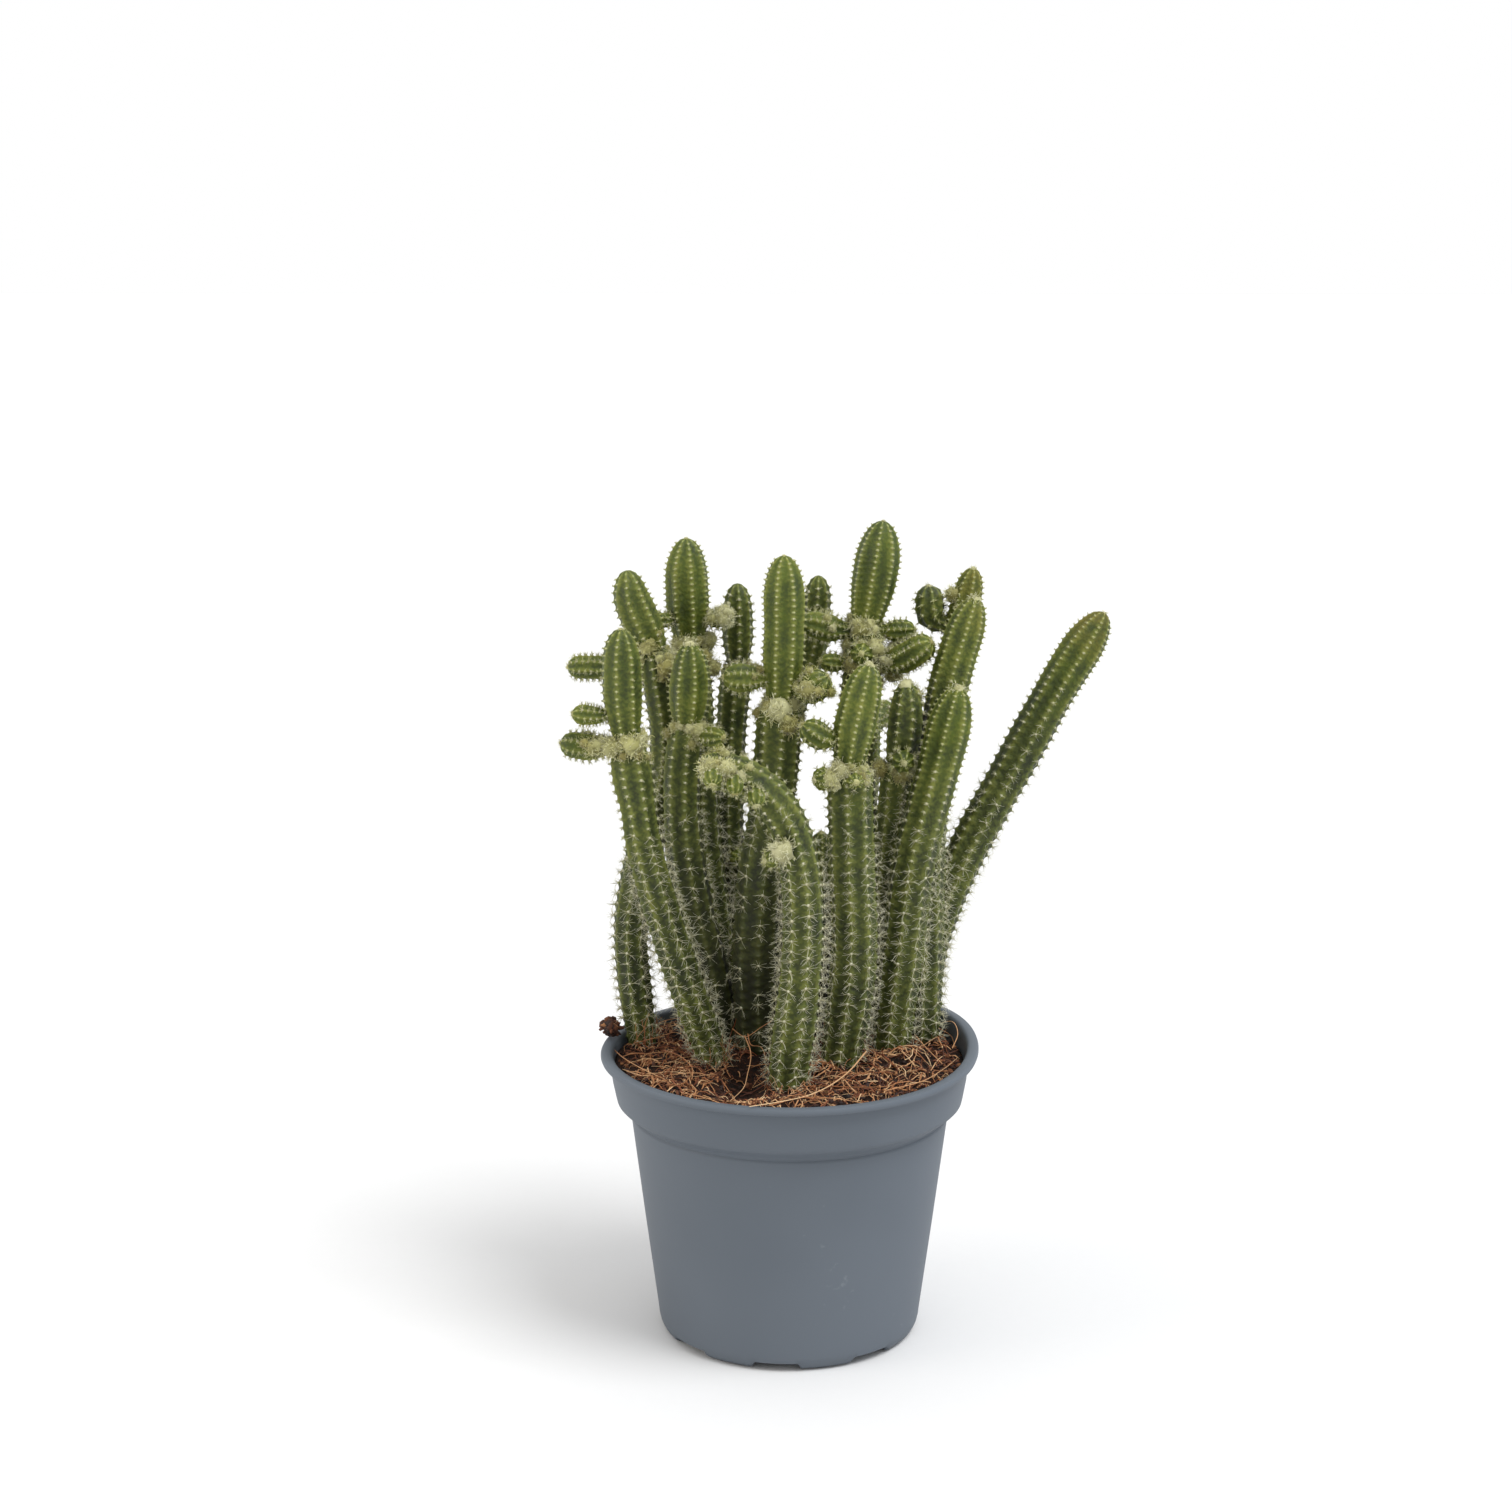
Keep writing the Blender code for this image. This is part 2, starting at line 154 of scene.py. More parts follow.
# %% One Principled material, and the one way to add a node to it
class Finish:
    def __init__(self, name, **even):
        self.material = bpy.data.materials.new(name)
        self.material.use_nodes = True
        self.tree = self.material.node_tree
        self.shader = self.tree.nodes["Principled BSDF"]
        self.feed(self.shader, {socket.replace("_", " "): value for socket, value in even.items()})

    def feed(self, node, sockets):
        for key, value in sockets.items():
            if isinstance(value, Wire):
                self.tree.links.new(value.socket, node.inputs[key])
            else:
                node.inputs[key].default_value = value

    def node(self, kind, settings=None, sockets=None, output=0):
        made = self.tree.nodes.new(kind)
        for key, value in (settings or {}).items():
            if key == "stops":
                ramp = made.color_ramp.elements
                for _ in value[2:]:
                    ramp.new(1)
                for stop, (position, colour) in zip(ramp, value):
                    stop.position, stop.color = position, colour
            else:
                setattr(made, key, value)
        self.feed(made, sockets or {})
        return Wire(self, made.outputs[output])

    def grain(self, scale, detail=2):
        """Noise from 0 to 1 in the piece's own space, scale features to the metre."""
        place = self.node("ShaderNodeTexCoord", output="Object")
        return self.node("ShaderNodeTexNoise", None, {"Vector": place, "Scale": scale, "Detail": detail})

    def map_parts(self, name):
        """The two numbers of a UV map."""
        place = self.node("ShaderNodeUVMap", {"uv_map": name})
        across = self.node("ShaderNodeSeparateXYZ", None, {0: place})
        return across, Wire(self, across.socket.node.outputs[1])

    def held(self, name):
        """A number that the mesh holds at each of its points."""
        return self.node("ShaderNodeAttribute", {"attribute_name": name}, output="Fac")

    def bump(self, height, depth, strength=1.0):
        sockets = {"Height": height, "Distance": depth, "Strength": strength}
        self.feed(self.shader, {"Normal": self.node("ShaderNodeBump", None, sockets)})


def paint(red, green, blue):
    """A colour as a paint chart gives it, 0 to 255, made linear for the shader."""
    return (*[((part / 255 + 0.055) / 1.055) ** 2.4 for part in (red, green, blue)], 1.0)


# %% [markdown]
# The skin is smooth and waxy. Its ribs are paler than the furrows between them, each areole sits on a
# pale knob, and young growth is a brighter yellow green than the grey olive of old stems. The furrows
# zigzag between the areoles, most of all on old stems. The mesh holds a map named rows, which counts ribs
# one way and areoles the other, so the pattern follows the limb. It also holds three numbers at each
# point: how young it is, how much it blushes, and how deep it stands in the shade of the others.

# %% The skin of the stems
AREOLE_PITCH_OLD, AREOLE_PITCH_YOUNG = 3.4, 1.85
ZIGZAG_OLD, ZIGZAG_YOUNG = 0.17, 0.06
KNOB_TIGHTNESS, YOUNG_KNOB_STRETCH = 4.2, 1.9


def rib_share(rib, row, youth):
    """0 on a rib's crest and 1 in the furrow, which zigzags because a rib is widest at its areoles."""
    below = rib.whole()
    beat = (row - 0.5 * (below % 2)) * math.tau
    half = 0.5 + (ZIGZAG_OLD - (ZIGZAG_OLD - ZIGZAG_YOUNG) * youth) * beat.sum("COSINE", beat)
    return rib.sum("MINIMUM", (rib - below) / half, (1 - (rib - below)) / (1 - half))


def make_skin(name, gloss):
    skin = Finish(name, Specular_IOR_Level=0.35, Subsurface_Weight=0.05, Subsurface_Scale=0.002)
    rib, row = skin.map_parts("rows")
    youth, blush, shade = skin.held("youth"), skin.held("blush"), skin.held("shade")
    furrow = rib_share(rib, row, youth)
    away = (row + 0.5 * ((rib + 0.5).whole() % 2)).from_whole()
    along = away * (KNOB_TIGHTNESS - YOUNG_KNOB_STRETCH * youth)
    knob = 1 - ((rib.from_whole() * KNOB_TIGHTNESS) ** 2 + along**2).fade(0.2, 1.7)
    crest = (1 - furrow) ** 1.6
    patch = skin.grain(150, 4).fade(0.3, 0.7)
    cloud = skin.grain(38, 1).fade(0.35, 0.65)
    speck = skin.grain(1150, 3).fade(0.36, 0.64)
    low = youth.between(
        patch.between(paint(31, 38, 8), paint(58, 66, 20)),
        patch.between(paint(46, 58, 4), paint(74, 87, 14)),
    )
    high = youth.between(
        patch.between(paint(86, 95, 36), paint(112, 117, 54)),
        patch.between(paint(102, 111, 36), paint(124, 127, 56)),
    )
    green = (crest * 0.72 + speck * 0.3 + cloud * 0.16 - 0.1).fade(0, 1).between(low, high)
    dotted = (knob * 0.7).between(green, youth.between(paint(140, 145, 104), paint(160, 164, 108)))
    red = (blush * patch * 0.75).between(dotted, paint(126, 78, 44))
    deep = (shade * 0.88).between(red, paint(22, 20, 9))
    skin.feed(skin.shader, {"Base Color": deep, "Roughness": gloss + 0.16 * patch + 0.12 * speck})
    skin.bump(speck * 0.6 + patch, 0.16 * MM, 0.7)
    return skin


stem_skin = make_skin("stem_skin", 0.52)
young_skin = make_skin("young_skin", 0.45)
print("skin:", len(stem_skin.tree.nodes), "nodes each")

# %% [markdown]
# Bristles, wool, fibres and crumbs come in thousands. Each has a map named OFBake, which holds its tone
# from left to right and the way from root to tip upwards. Two ramps, one for roots and one for tips, then
# colour them all, and the whole finish fits on one small picture, however many strands there are.

# %% Finishes for strands and crumbs
def make_toned(name, roots, tips, rough, **even):
    toned = Finish(name, **even)
    tone, along = toned.map_parts("OFBake")
    ramps = [
        toned.node(
            "ShaderNodeValToRGB",
            {"stops": [(step / (len(colours) - 1), paint(*c)) for step, c in enumerate(colours)]},
            {0: tone},
        )
        for colours in (roots, tips)
    ]
    colour = along.fade(0.1, 0.9).between(*ramps)
    toned.feed(toned.shader, {"Base Color": colour, "Roughness": rough + 0.2 * tone})
    return toned


bristle = make_toned(
    "bristle",
    [(172, 168, 136), (158, 152, 114), (156, 156, 94), (170, 172, 106)],
    [(222, 220, 198), (206, 203, 174), (188, 188, 134), (200, 201, 152)],
    0.4,
    Specular_IOR_Level=0.4,
)
wool = make_toned(
    "wool",
    [(142, 139, 92), (118, 116, 56), (98, 90, 38), (104, 114, 22)],
    [(238, 236, 202), (220, 217, 152), (190, 183, 110), (206, 212, 98)],
    0.65,
    Sheen_Weight=0.2,
)
coir_fibre = make_toned(
    "coir_fibre",
    [(46, 18, 6), (110, 56, 27), (168, 108, 66), (220, 178, 130)],
    [(70, 30, 12), (146, 84, 47), (202, 148, 98), (242, 212, 168)],
    0.55,
)
crumb_finish = make_toned(
    "mix_crumb",
    [(14, 6, 2), (34, 15, 6), (62, 31, 15), (112, 66, 38)],
    [(30, 13, 6), (60, 30, 15), (104, 60, 34), (168, 120, 80)],
    0.75,
)

# %% [markdown]
# Two solid finishes are left. The pot is a blue grey plastic with a faint orange peel, a cloudy tone
# and pale scuffs. The mix under the crumbs is red brown on its lumps, and painted nearly black between
# them, as shade in their low places.

# %% The plastic and the mix
def make_plastic():
    plastic = Finish("pot_plastic", Specular_IOR_Level=0.25)
    cloud = plastic.grain(14, 2).fade(0.3, 0.7)
    peel = plastic.grain(1500, 2)
    scuff = (plastic.grain(330, 6) * plastic.grain(30, 1)).fade(0.41, 0.56)
    grey = cloud.between(paint(89, 96, 104), paint(95, 102, 110))
    colour = (scuff * 0.35).between(grey, paint(140, 146, 151))
    plastic.feed(plastic.shader, {"Base Color": colour, "Roughness": 0.5 + 0.08 * cloud + 0.15 * scuff})
    plastic.bump(peel, 0.03 * MM, 0.35)
    return plastic


def make_earth():
    earth = Finish("potting_mix", Specular_IOR_Level=0.25)
    lump, crumb = earth.grain(420, 4), earth.grain(1600, 3)
    # Painted shade: the mix goes nearly black where its bump is low, between the lumps.
    colour = (lump * 0.6 + crumb * 0.5).fade(0.42, 0.78).between(paint(11, 5, 2), paint(60, 31, 15))
    earth.feed(earth.shader, {"Base Color": colour, "Roughness": 0.75 + 0.2 * crumb})
    earth.bump(lump + crumb * 0.5, 0.9 * MM, 0.9)
    return earth


pot_plastic, earth = make_plastic(), make_earth()

# %% [markdown]
# ## Reading a limb
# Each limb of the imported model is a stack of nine-cornered rings with a pole at each end. Walking out
# from the poles, ring by ring, gives back its centre line and its girth, so the fine limb goes exactly
# where the plain one stands. A ring that lost a corner when the model was packed is what the two walks
# leave between them.

# %% Rings of a limb
RING_CORNERS = 9
WELD = 1e-5


def walk(pole, seen):
    ring, rings = [pole], []
    while len(ring) in (1, RING_CORNERS) and not seen.issuperset(ring):
        rings.append(ring)
        seen.update(ring)
        near = {edge.other_vert(corner) for corner in ring for edge in corner.link_edges}
        ring = sorted(near - seen, key=lambda corner: corner.index)
    return rings


def read_rings(node):
    shape = bmesh.new()
    shape.from_mesh(frame["nodes"][node].data)
    bmesh.ops.remove_doubles(shape, verts=shape.verts, dist=WELD)
    shape.verts.index_update()
    seen = set()
    poles = sorted(shape.verts, key=lambda corner: len(corner.link_edges))[-2:]
    first, last = (walk(pole, seen) for pole in poles)
    middle = [corner for corner in shape.verts if corner not in seen]
    rings = [np.array([c.co for c in ring]) for ring in first + [middle] * bool(middle) + last[::-1]]
    shape.free()
    centres = np.array([ring.mean(0) for ring in rings])
    girths = np.array([np.linalg.norm(ring - ring.mean(0), axis=1).mean() for ring in rings])
    turned = girths[1] < girths[-2]
    return (centres[::-1], girths[::-1]) if turned else (centres, girths)


print("front_left:", len(read_rings("front_left")[1]), "rings and poles")

# %% [markdown]
# A smooth curve through the rings gives as many in-between places as the fine mesh needs. A Hermite
# curve does it: each ring has a slope, taken from its neighbours.

# %% A smooth curve through rings
def smooth(values, places, wanted):
    slopes = np.gradient(values, places, axis=0)
    step = np.clip(np.searchsorted(places, wanted, side="right") - 1, 0, len(places) - 2)
    gap = places[step + 1] - places[step]
    t = (wanted - places[step]) / gap
    if values.ndim > 1:
        t, gap = t[:, None], gap[:, None]
    rise = (t * (1 - t) ** 2 * slopes[step] - t * t * (1 - t) * slopes[step + 1]) * gap
    ease = t * t * (3 - 2 * t)
    return values[step] * (1 - ease) + values[step + 1] * ease + rise


def eased(t):
    t = np.clip(t, 0, 1)
    return t * t * (3 - 2 * t)


# %% [markdown]
# The limb keeps its own measures: where its centre line runs, how wide it is, how young it is, and how
# many areoles lie below each place. Growth is youngest at a free tip. A stem that carries a further
# segment has stopped growing, so it stays olive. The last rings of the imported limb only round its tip,
# which an ellipse does better. Three lists name the limbs that differ: BLUSHING ones are reddish at the
# tip, SHADED ones are dark at the foot, and DULL ones have lost a part of their fresh green.

# %% A limb and its measures
RIBS = 8
ROW_STEPS = 4
TIP_RINGS = 3
SAMPLE = 0.25 * MM
FRESH_LENGTH, BLUSH_LENGTH = 62 * MM, 22 * MM
YOUTH_OF_CLOSED = 0.3
BLUNT_ENDS = ("front_centre",)
BLUSHING = {"leaning_right": 0.35, "back_right": 0.25, "outer_right": 0.15}
SINK = 2.2 * MM
SHADED = {"middle_left": 0.7, "middle": 0.75, "rear_middle": 1.0, "rear_left": 0.8}
SHADE_FROM, SHADE_TO = 178 * MM, 120 * MM
DULL = {
    "middle_right_top": 0.25, "back_left_top": 0.45, "back_centre": 0.5, "back_right_shoot_1": 0.4,
    "front_left_top": 0.75, "outer_left_top": 0.7,
}  # fmt: skip


class Limb:
    def __init__(self, node):
        self.node, self.is_stem = node, "_top" not in node and "_shoot" not in node
        centres, girths = read_rings(node)
        if not self.is_stem:
            out = centres[1] - centres[0]
            centres[0] -= out / np.linalg.norm(out) * SINK
        places = np.append(0, np.cumsum(np.linalg.norm(np.diff(centres, axis=0), axis=1)))
        self.place = np.append(np.arange(0, places[-1], SAMPLE), places[-1])
        self.centre = smooth(centres, places, self.place)
        self.girth = self.measure_girth(girths, places)
        self.along, self.side = self.transport()
        self.over = np.cross(self.along, self.side)
        self.grow(places[-1])

    def measure_girth(self, girths, places):
        body = slice(1, -1 - TIP_RINGS)
        low, high = places[body][0], places[body][-1]
        if places[body].size > 2:
            within = smooth(girths[body], places[body], np.clip(self.place, low, high))
        else:
            within = np.interp(self.place, places[body], girths[body])
        base = np.clip(1 - self.place / low, 0, 1)
        tip = np.clip((self.place - high) / (places[-1] - high), 0, 1)
        return within * np.sqrt(1 - base**2) * np.sqrt(1 - tip**2.1)

    def transport(self):
        """The direction of the limb at each place, and a sideways one that never twists about it."""
        along = np.gradient(self.centre, self.place, axis=0)
        along /= np.linalg.norm(along, axis=1)[:, None]
        sides = [np.array(Vector(along[0]).orthogonal().normalized())]
        for ahead in along[1:]:
            side = sides[-1] - ahead * (sides[-1] @ ahead)
            sides.append(side / np.linalg.norm(side))
        return along, np.array(sides)

    def grow(self, length):
        closed = f"{self.node}_top" in frame["nodes"] or self.node in BLUNT_ENDS
        behind = (length - self.place) / FRESH_LENGTH
        fresh = 1 - eased(behind) if self.is_stem else 1 - 0.35 * behind
        self.youth = fresh * (YOUTH_OF_CLOSED if closed else 1) * DULL.get(self.node, 1)
        self.blush = BLUSHING.get(self.node, 0) * (1 - eased((length - self.place) / BLUSH_LENGTH))
        deep = np.clip((SHADE_FROM - self.centre[:, 2]) / (SHADE_FROM - SHADE_TO), 0, 1)
        self.shade = SHADED.get(self.node, 0) * deep
        pitch = AREOLE_PITCH_OLD + (AREOLE_PITCH_YOUNG - AREOLE_PITCH_OLD) * self.youth
        pitch = pitch * MM * (0.6 + 0.4 * np.clip(self.girth / self.girth.max(), 0, 1))
        rows = np.append(0, np.cumsum(np.diff(self.place) / pitch[1:]))
        self.steps = round(rows[-1] * ROW_STEPS)
        self.row = rows * self.steps / ROW_STEPS / rows[-1]
        self.pitch = pitch

    def at(self, values, row):
        if values.ndim == 1:
            return np.interp(row, self.row, values)
        return np.stack([np.interp(row, self.row, column) for column in values.T], -1)


# %% [markdown]
# ## The ribbed skin
# The skin starts as a flat grid, as a sheet of dough would, and is rolled round the centre line. Along
# it there are four rows to an areole and round it six columns to a rib, so that every knob and furrow
# falls on the mesh. Ribs are low cosine waves, an areole lifts a small round knob, and an old rib swells
# a little round each areole.

# %% Rolling a grid round a limb
RIB_STEPS = 6
KNOB_HEIGHT = 0.4 * MM
KNOB_WIDTH = 0.55 * MM
TUBERCLE = 0.03
WAVER = 0.05
RIB_DEPTH, YOUNG_RIB_EXTRA, MEAN_CREST = 0.085, 0.02, 0.65
INSET = 0.12 * MM


def waver(points, seed):
    """Slow unevenness, from about -1 to 1, so that no limb looks turned on a lathe."""
    return np.array([noise.noise(Vector(point) * 70 + Vector((seed, 0, 0))) for point in points])


def crest_share(rib, row, youth):
    """The same as rib_share, for the mesh."""
    below = np.floor(rib)
    zigzag = ZIGZAG_OLD - (ZIGZAG_OLD - ZIGZAG_YOUNG) * youth
    half = 0.5 + zigzag * np.cos(math.tau * (row - 0.5 * (below % 2)))
    return np.minimum((rib - below) / half, (1 - (rib - below)) / (1 - half))


def skin_point(limb, rib, row):
    """Where the skin lies at a rib number and a row number, and which way it faces."""
    turn = rib * math.tau / RIBS + limb.spin
    radial = limb.at(limb.side, row) * np.cos(turn)[:, None] + limb.at(limb.over, row) * np.sin(turn)[:, None]
    girth, youth = limb.at(limb.girth, row), limb.at(limb.youth, row)
    share = crest_share(rib, row, youth)
    crest = (0.5 + 0.5 * np.cos(math.pi * share)) ** 0.8
    side_gap = (rib - np.round(rib)) * girth * math.tau / RIBS
    shifted = row - 0.5 * (np.round(rib) % 2)
    row_gap = (shifted - np.round(shifted)) * limb.at(limb.pitch, row)
    knob = np.exp(-(side_gap**2 + row_gap**2) / KNOB_WIDTH**2) * np.clip(girth / (3 * MM), 0, 1)
    swell = TUBERCLE * (1 - youth) * (1 - share) * np.cos(math.tau * shifted)
    wave = (RIB_DEPTH + YOUNG_RIB_EXTRA * youth) * (crest - MEAN_CREST)
    reach = girth * (1 + wave + swell) + KNOB_HEIGHT * knob - INSET
    reach *= 1 + WAVER * limb.at(limb.unevenness, row)
    slope = limb.at(limb.taper, row)
    facing = radial - limb.at(limb.along, row) * slope[:, None]
    facing /= np.linalg.norm(facing, axis=1)[:, None]
    return limb.at(limb.centre, row) + radial * np.maximum(reach, 0)[:, None] * (girth > 0)[:, None], facing


def roll_skin(limb):
    shape = bmesh.new()
    flat = shape.loops.layers.uv.new("OFBake")
    rows = shape.loops.layers.uv.new("rows")
    youth = shape.verts.layers.float.new("youth")
    blush = shape.verts.layers.float.new("blush")
    shade = shape.verts.layers.float.new("shade")
    bmesh.ops.create_grid(shape, x_segments=RIBS * RIB_STEPS, y_segments=limb.steps, size=1, calc_uvs=True)
    share = np.array([corner.co[:2] for corner in shape.verts]) / 2 + 0.5
    rib, row = np.round(share[:, 0] * RIBS * RIB_STEPS) / RIB_STEPS, share[:, 1] * limb.row[-1]
    points, _ = skin_point(limb, rib, row)
    ages, reds, shades = limb.at(limb.youth, row), limb.at(limb.blush, row), limb.at(limb.shade, row)
    for face in shape.faces:
        for corner in face.loops:
            across, up = corner.vert.co[0] / 2 + 0.5, corner.vert.co[1] / 2 + 0.5
            corner[flat].uv = 0.004 + 0.992 * across, 0.004 + 0.992 * up
            corner[rows].uv = across * RIBS, up * limb.row[-1]
    for corner, point, age, red, dark in zip(shape.verts, points, ages, reds, shades):
        corner.co, corner[youth], corner[blush], corner[shade] = point, age, red, dark
    bmesh.ops.remove_doubles(shape, verts=shape.verts, dist=WELD / 10)
    bmesh.ops.recalc_face_normals(shape, faces=shape.faces)
    return shape


limbs = {}
for number, node in enumerate(sorted(set(frame["nodes"]) - {"pot", "potting_mix", "rim_crumb"})):
    limb = limbs[node] = Limb(node)
    limb.spin = number * 2.4
    limb.unevenness = waver(limb.centre, number * 3.7)
    limb.taper = np.clip(np.gradient(limb.girth, limb.place), -3, 3)
    slot = "stem_skin" if limb.is_stem else "young_skin"
    finish = stem_skin if limb.is_stem else young_skin
    make_piece(f"{node}_skin", roll_skin(limb), [finish], slot, node)
print("rolled", len(limbs), "limbs")

# %% [markdown]
# ## Strands
# A strand is a thin three-sided tube. It starts as an upright open cone, cut across into rings, which
# are then laid along a path. Bristles, wool and fibres are all strands: only path, girth and tone differ.

# %% Laying one strand along a path
STRAND_SIDES = 3
TONE_WIDTH = 0.05


def add_strand(shape, path, girth, tone, tip_share=0.3):
    count = len(path) - 1
    made = bmesh.new()
    flat = made.loops.layers.uv.new("OFBake")
    bmesh.ops.create_cone(
        made, segments=STRAND_SIDES, radius1=girth, radius2=girth * tip_share, depth=1, cap_ends=False
    )
    upright = [edge for edge in made.edges if abs(edge.verts[0].co.z - edge.verts[1].co.z) > 0.5]
    if count > 1:
        bmesh.ops.subdivide_edges(made, edges=upright, cuts=count - 1, use_grid_fill=True)
    for face in made.faces:
        for corner in face.loops:
            point = corner.vert.co
            across = tone * (1 - TONE_WIDTH) + TONE_WIDTH * (math.atan2(point.y, point.x) / math.tau + 0.5)
            corner[flat].uv = across, 0.02 + 0.96 * (point.z + 0.5)
    turns = [Vector((0, 0, 1)).rotation_difference(path[1] - path[0])]
    for before, after in zip(path, path[2:] + path[-1:]):
        ahead = (after - before).normalized()
        turns.append((turns[-1] @ Vector((0, 0, 1))).rotation_difference(ahead) @ turns[-1])
    for corner in made.verts:
        step = round((corner.co.z + 0.5) * count)
        corner.co = path[step] + turns[step] @ Vector((corner.co.x, corner.co.y, 0))
    made.to_mesh(scratch_mesh)
    made.free()
    shape.from_mesh(scratch_mesh)


def curl(start, aim, length, steps, wander, dice):
    """A path that keeps changing its mind, as hair does."""
    path, ahead = [start], aim.normalized()
    for _ in range(steps):
        ahead = (ahead + wander * Vector([dice.uniform(-1, 1) for _ in range(3)])).normalized()
        path.append(path[-1] + ahead * (length / steps))
    return path


def any_way(dice):
    return Vector([dice.gauss(0, 1) for _ in range(3)]).normalized()


def any_turn(dice):
    axis = any_way(dice)
    return Matrix.Rotation(dice.uniform(0, math.tau), 4, axis)


scratch_mesh = bpy.data.meshes.new("scratch")

# %% [markdown]
# ## Areoles
# An areole is a pad of felt with a tuft of bristles. There are thousands, so a few dozen tufts are made
# once and stamped. Old stems wear long white bristles that lean on the skin and cross the furrows, young
# ribs wear neat short yellowish ones, and those of the little shoots are longer for their size.

# %% Templates of tufts
TUFT_KINDS = {
    # bristles, steps, shortest, longest, spread, girth, tones, pad radius
    "old": (11, 2, 1.5, 3.8, 1.5, 0.078, (0.0, 0.3), 0.46),
    "middle": (10, 1, 0.45, 1.25, 1.4, 0.068, (0.1, 0.6), 0.42),
    "young": (9, 1, 0.3, 0.66, 1.2, 0.062, (0.35, 0.98), 0.32),
    "shoot": (11, 1, 0.7, 1.5, 1.25, 0.074, (0.1, 0.98), 0.36),
}
ALONG_SHARE = 0.42
TUFTS_OF_A_KIND = 14


def make_tuft(kind, dice):
    count, steps, shortest, longest, spread, girth, tones, pad = TUFT_KINDS[kind]
    shape = bmesh.new()
    flat = shape.loops.layers.uv.new("OFBake")
    squash = Matrix.Diagonal((pad * MM, pad * MM, 0.55 * pad * MM, 1))
    bmesh.ops.create_icosphere(shape, subdivisions=1, radius=1, matrix=squash)
    tone = dice.uniform(*tones)
    for face in shape.faces:
        for corner in face.loops:
            corner[flat].uv = tone * 0.9 + 0.05 * corner.vert.co.x / (pad * MM), 0.75 + 100 * corner.vert.co.y
    for number in range(count):
        turn = math.tau * (number + dice.random()) / count
        lean = spread * (0.55 + 0.45 * dice.random())
        aim = Vector((math.cos(turn), ALONG_SHARE * math.sin(turn), 0)) * math.sin(lean)
        aim.z = math.cos(lean)
        length = dice.uniform(shortest, longest) * MM
        path = curl(aim * 0.2 * MM, aim, length, steps, 0.42, dice)
        add_strand(shape, path, girth * MM, dice.uniform(*tones))
    return as_mesh(shape, "tuft")


dice = random.Random(7)
tufts = {kind: [make_tuft(kind, dice) for _ in range(TUFTS_OF_A_KIND)] for kind in TUFT_KINDS}
print("tuft faces:", {kind: len(made[0].polygons) for kind, made in tufts.items()})

# %% [markdown]
# A stamp is moved to its place, added to the piece and moved back. Each areole's frame has Z straight
# out of the skin and Y along the limb. Long hair gives way to short over a few centimetres of height, and
# shaded feet keep only some of their tufts. A stem that leans on the pot is bare where it touches, so
# that no bristle goes through the plastic.

# %% Stamping tufts on every areole
HAIRY_BELOW = 168 * MM
HAIRY_FADE = 56 * MM
THINNED = 0.75
MIX_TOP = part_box("potting_mix")[1].z
LIP_TOP = 97 * MM
BARE_FROM = 52.5 * MM


def stamp(shape, template, place):
    at_rest = np.empty(len(template.vertices) * 3, np.float32)
    template.vertices.foreach_get("co", at_rest)
    template.transform(place)
    shape.from_mesh(template)
    template.vertices.foreach_set("co", at_rest)


def areoles_of(limb):
    """Rib and row numbers of a limb's areoles. Every other rib is half a step ahead."""
    found = [
        (rib, row + 0.5 * (rib % 2))
        for rib in range(RIBS)
        for row in range(1, int(limb.row[-1] - 0.4))
    ]
    rib, row = (np.array(part, float) for part in zip(*found))
    keep = limb.at(limb.girth, row) > 0.8 * MM
    lot = (rib * 5 + row * 2) % 7 / 7
    keep &= lot >= THINNED * limb.at(limb.shade, row)
    if limb.is_stem:
        keep &= limb.at(limb.centre, row)[:, 2] > MIX_TOP - 1.5 * MM
    return rib[keep], row[keep]


def stamp_tufts(shape, limb, dice):
    rib, row = areoles_of(limb)
    points, facings = skin_point(limb, rib, row)
    for point, out, up, age in zip(points, facings, limb.at(limb.along, row), limb.at(limb.youth, row)):
        if point[2] < LIP_TOP and math.hypot(point[0], point[1]) > BARE_FROM:
            continue
        out = Vector(out)
        across = Vector(up).cross(out).normalized()
        frame_here = Matrix((across, out.cross(across), out)).transposed().to_4x4()
        neat = eased((point[2] - HAIRY_BELOW) / HAIRY_FADE + 0.5)
        kind = "young" if age > 0.62 else "middle" if age > 0.3 or dice.random() < neat else "old"
        if "_shoot" in limb.node:
            kind = "shoot"
        size = dice.uniform(0.85, 1.15) * (1 - 0.4 * neat if kind == "old" else 1)
        swing = Matrix.Rotation(dice.uniform(-0.5, 0.5), 4, "Z") @ Matrix.Scale(size, 4)
        place = Matrix.Translation(point) @ frame_here @ swing
        stamp(shape, dice.choice(tufts[kind]), place)
    return len(row)


def stem_of(node):
    return node.split("_top")[0].split("_shoot")[0]


total = 0
for stem in [node for node in limbs if limbs[node].is_stem]:
    dice, shape = random.Random(stem), bmesh.new()
    for node in limbs:
        if stem_of(node) == stem:
            total += stamp_tufts(shape, limbs[node], dice)
    make_piece(f"{stem}_bristles", shape, [bristle], "bristle")
print("areoles:", total)

# %% [markdown]
# ## Wool
# Where a segment starts, where a shoot breaks out and at some tips the areoles crowd together and their
# wool grows into cream balls. A ball is a lumpy felt core with curly hair standing on it. Small balls get
# few hairs and large ones many finer ones, and each tone has a few balls to choose from.

# %% Balls of wool to stamp
CORE_SHARE = 0.66
PALE, CREAM, TAN, BUD = "pale", "cream", "tan", "bud"
WOOL_TONES = {PALE: (0.0, 0.2), CREAM: (0.05, 0.5), TAN: (0.3, 0.72), BUD: (0.5, 1.0)}
MOP_BUILDS = {
    # hairs, girth of a hair, shortest and longest, as shares of the ball's radius
    "small": (84, 0.032, 0.35, 0.95),
    "crown": (210, 0.024, 0.25, 0.7),
}
MOPS_OF_A_TONE = 4
CROWN_FROM = 4.0


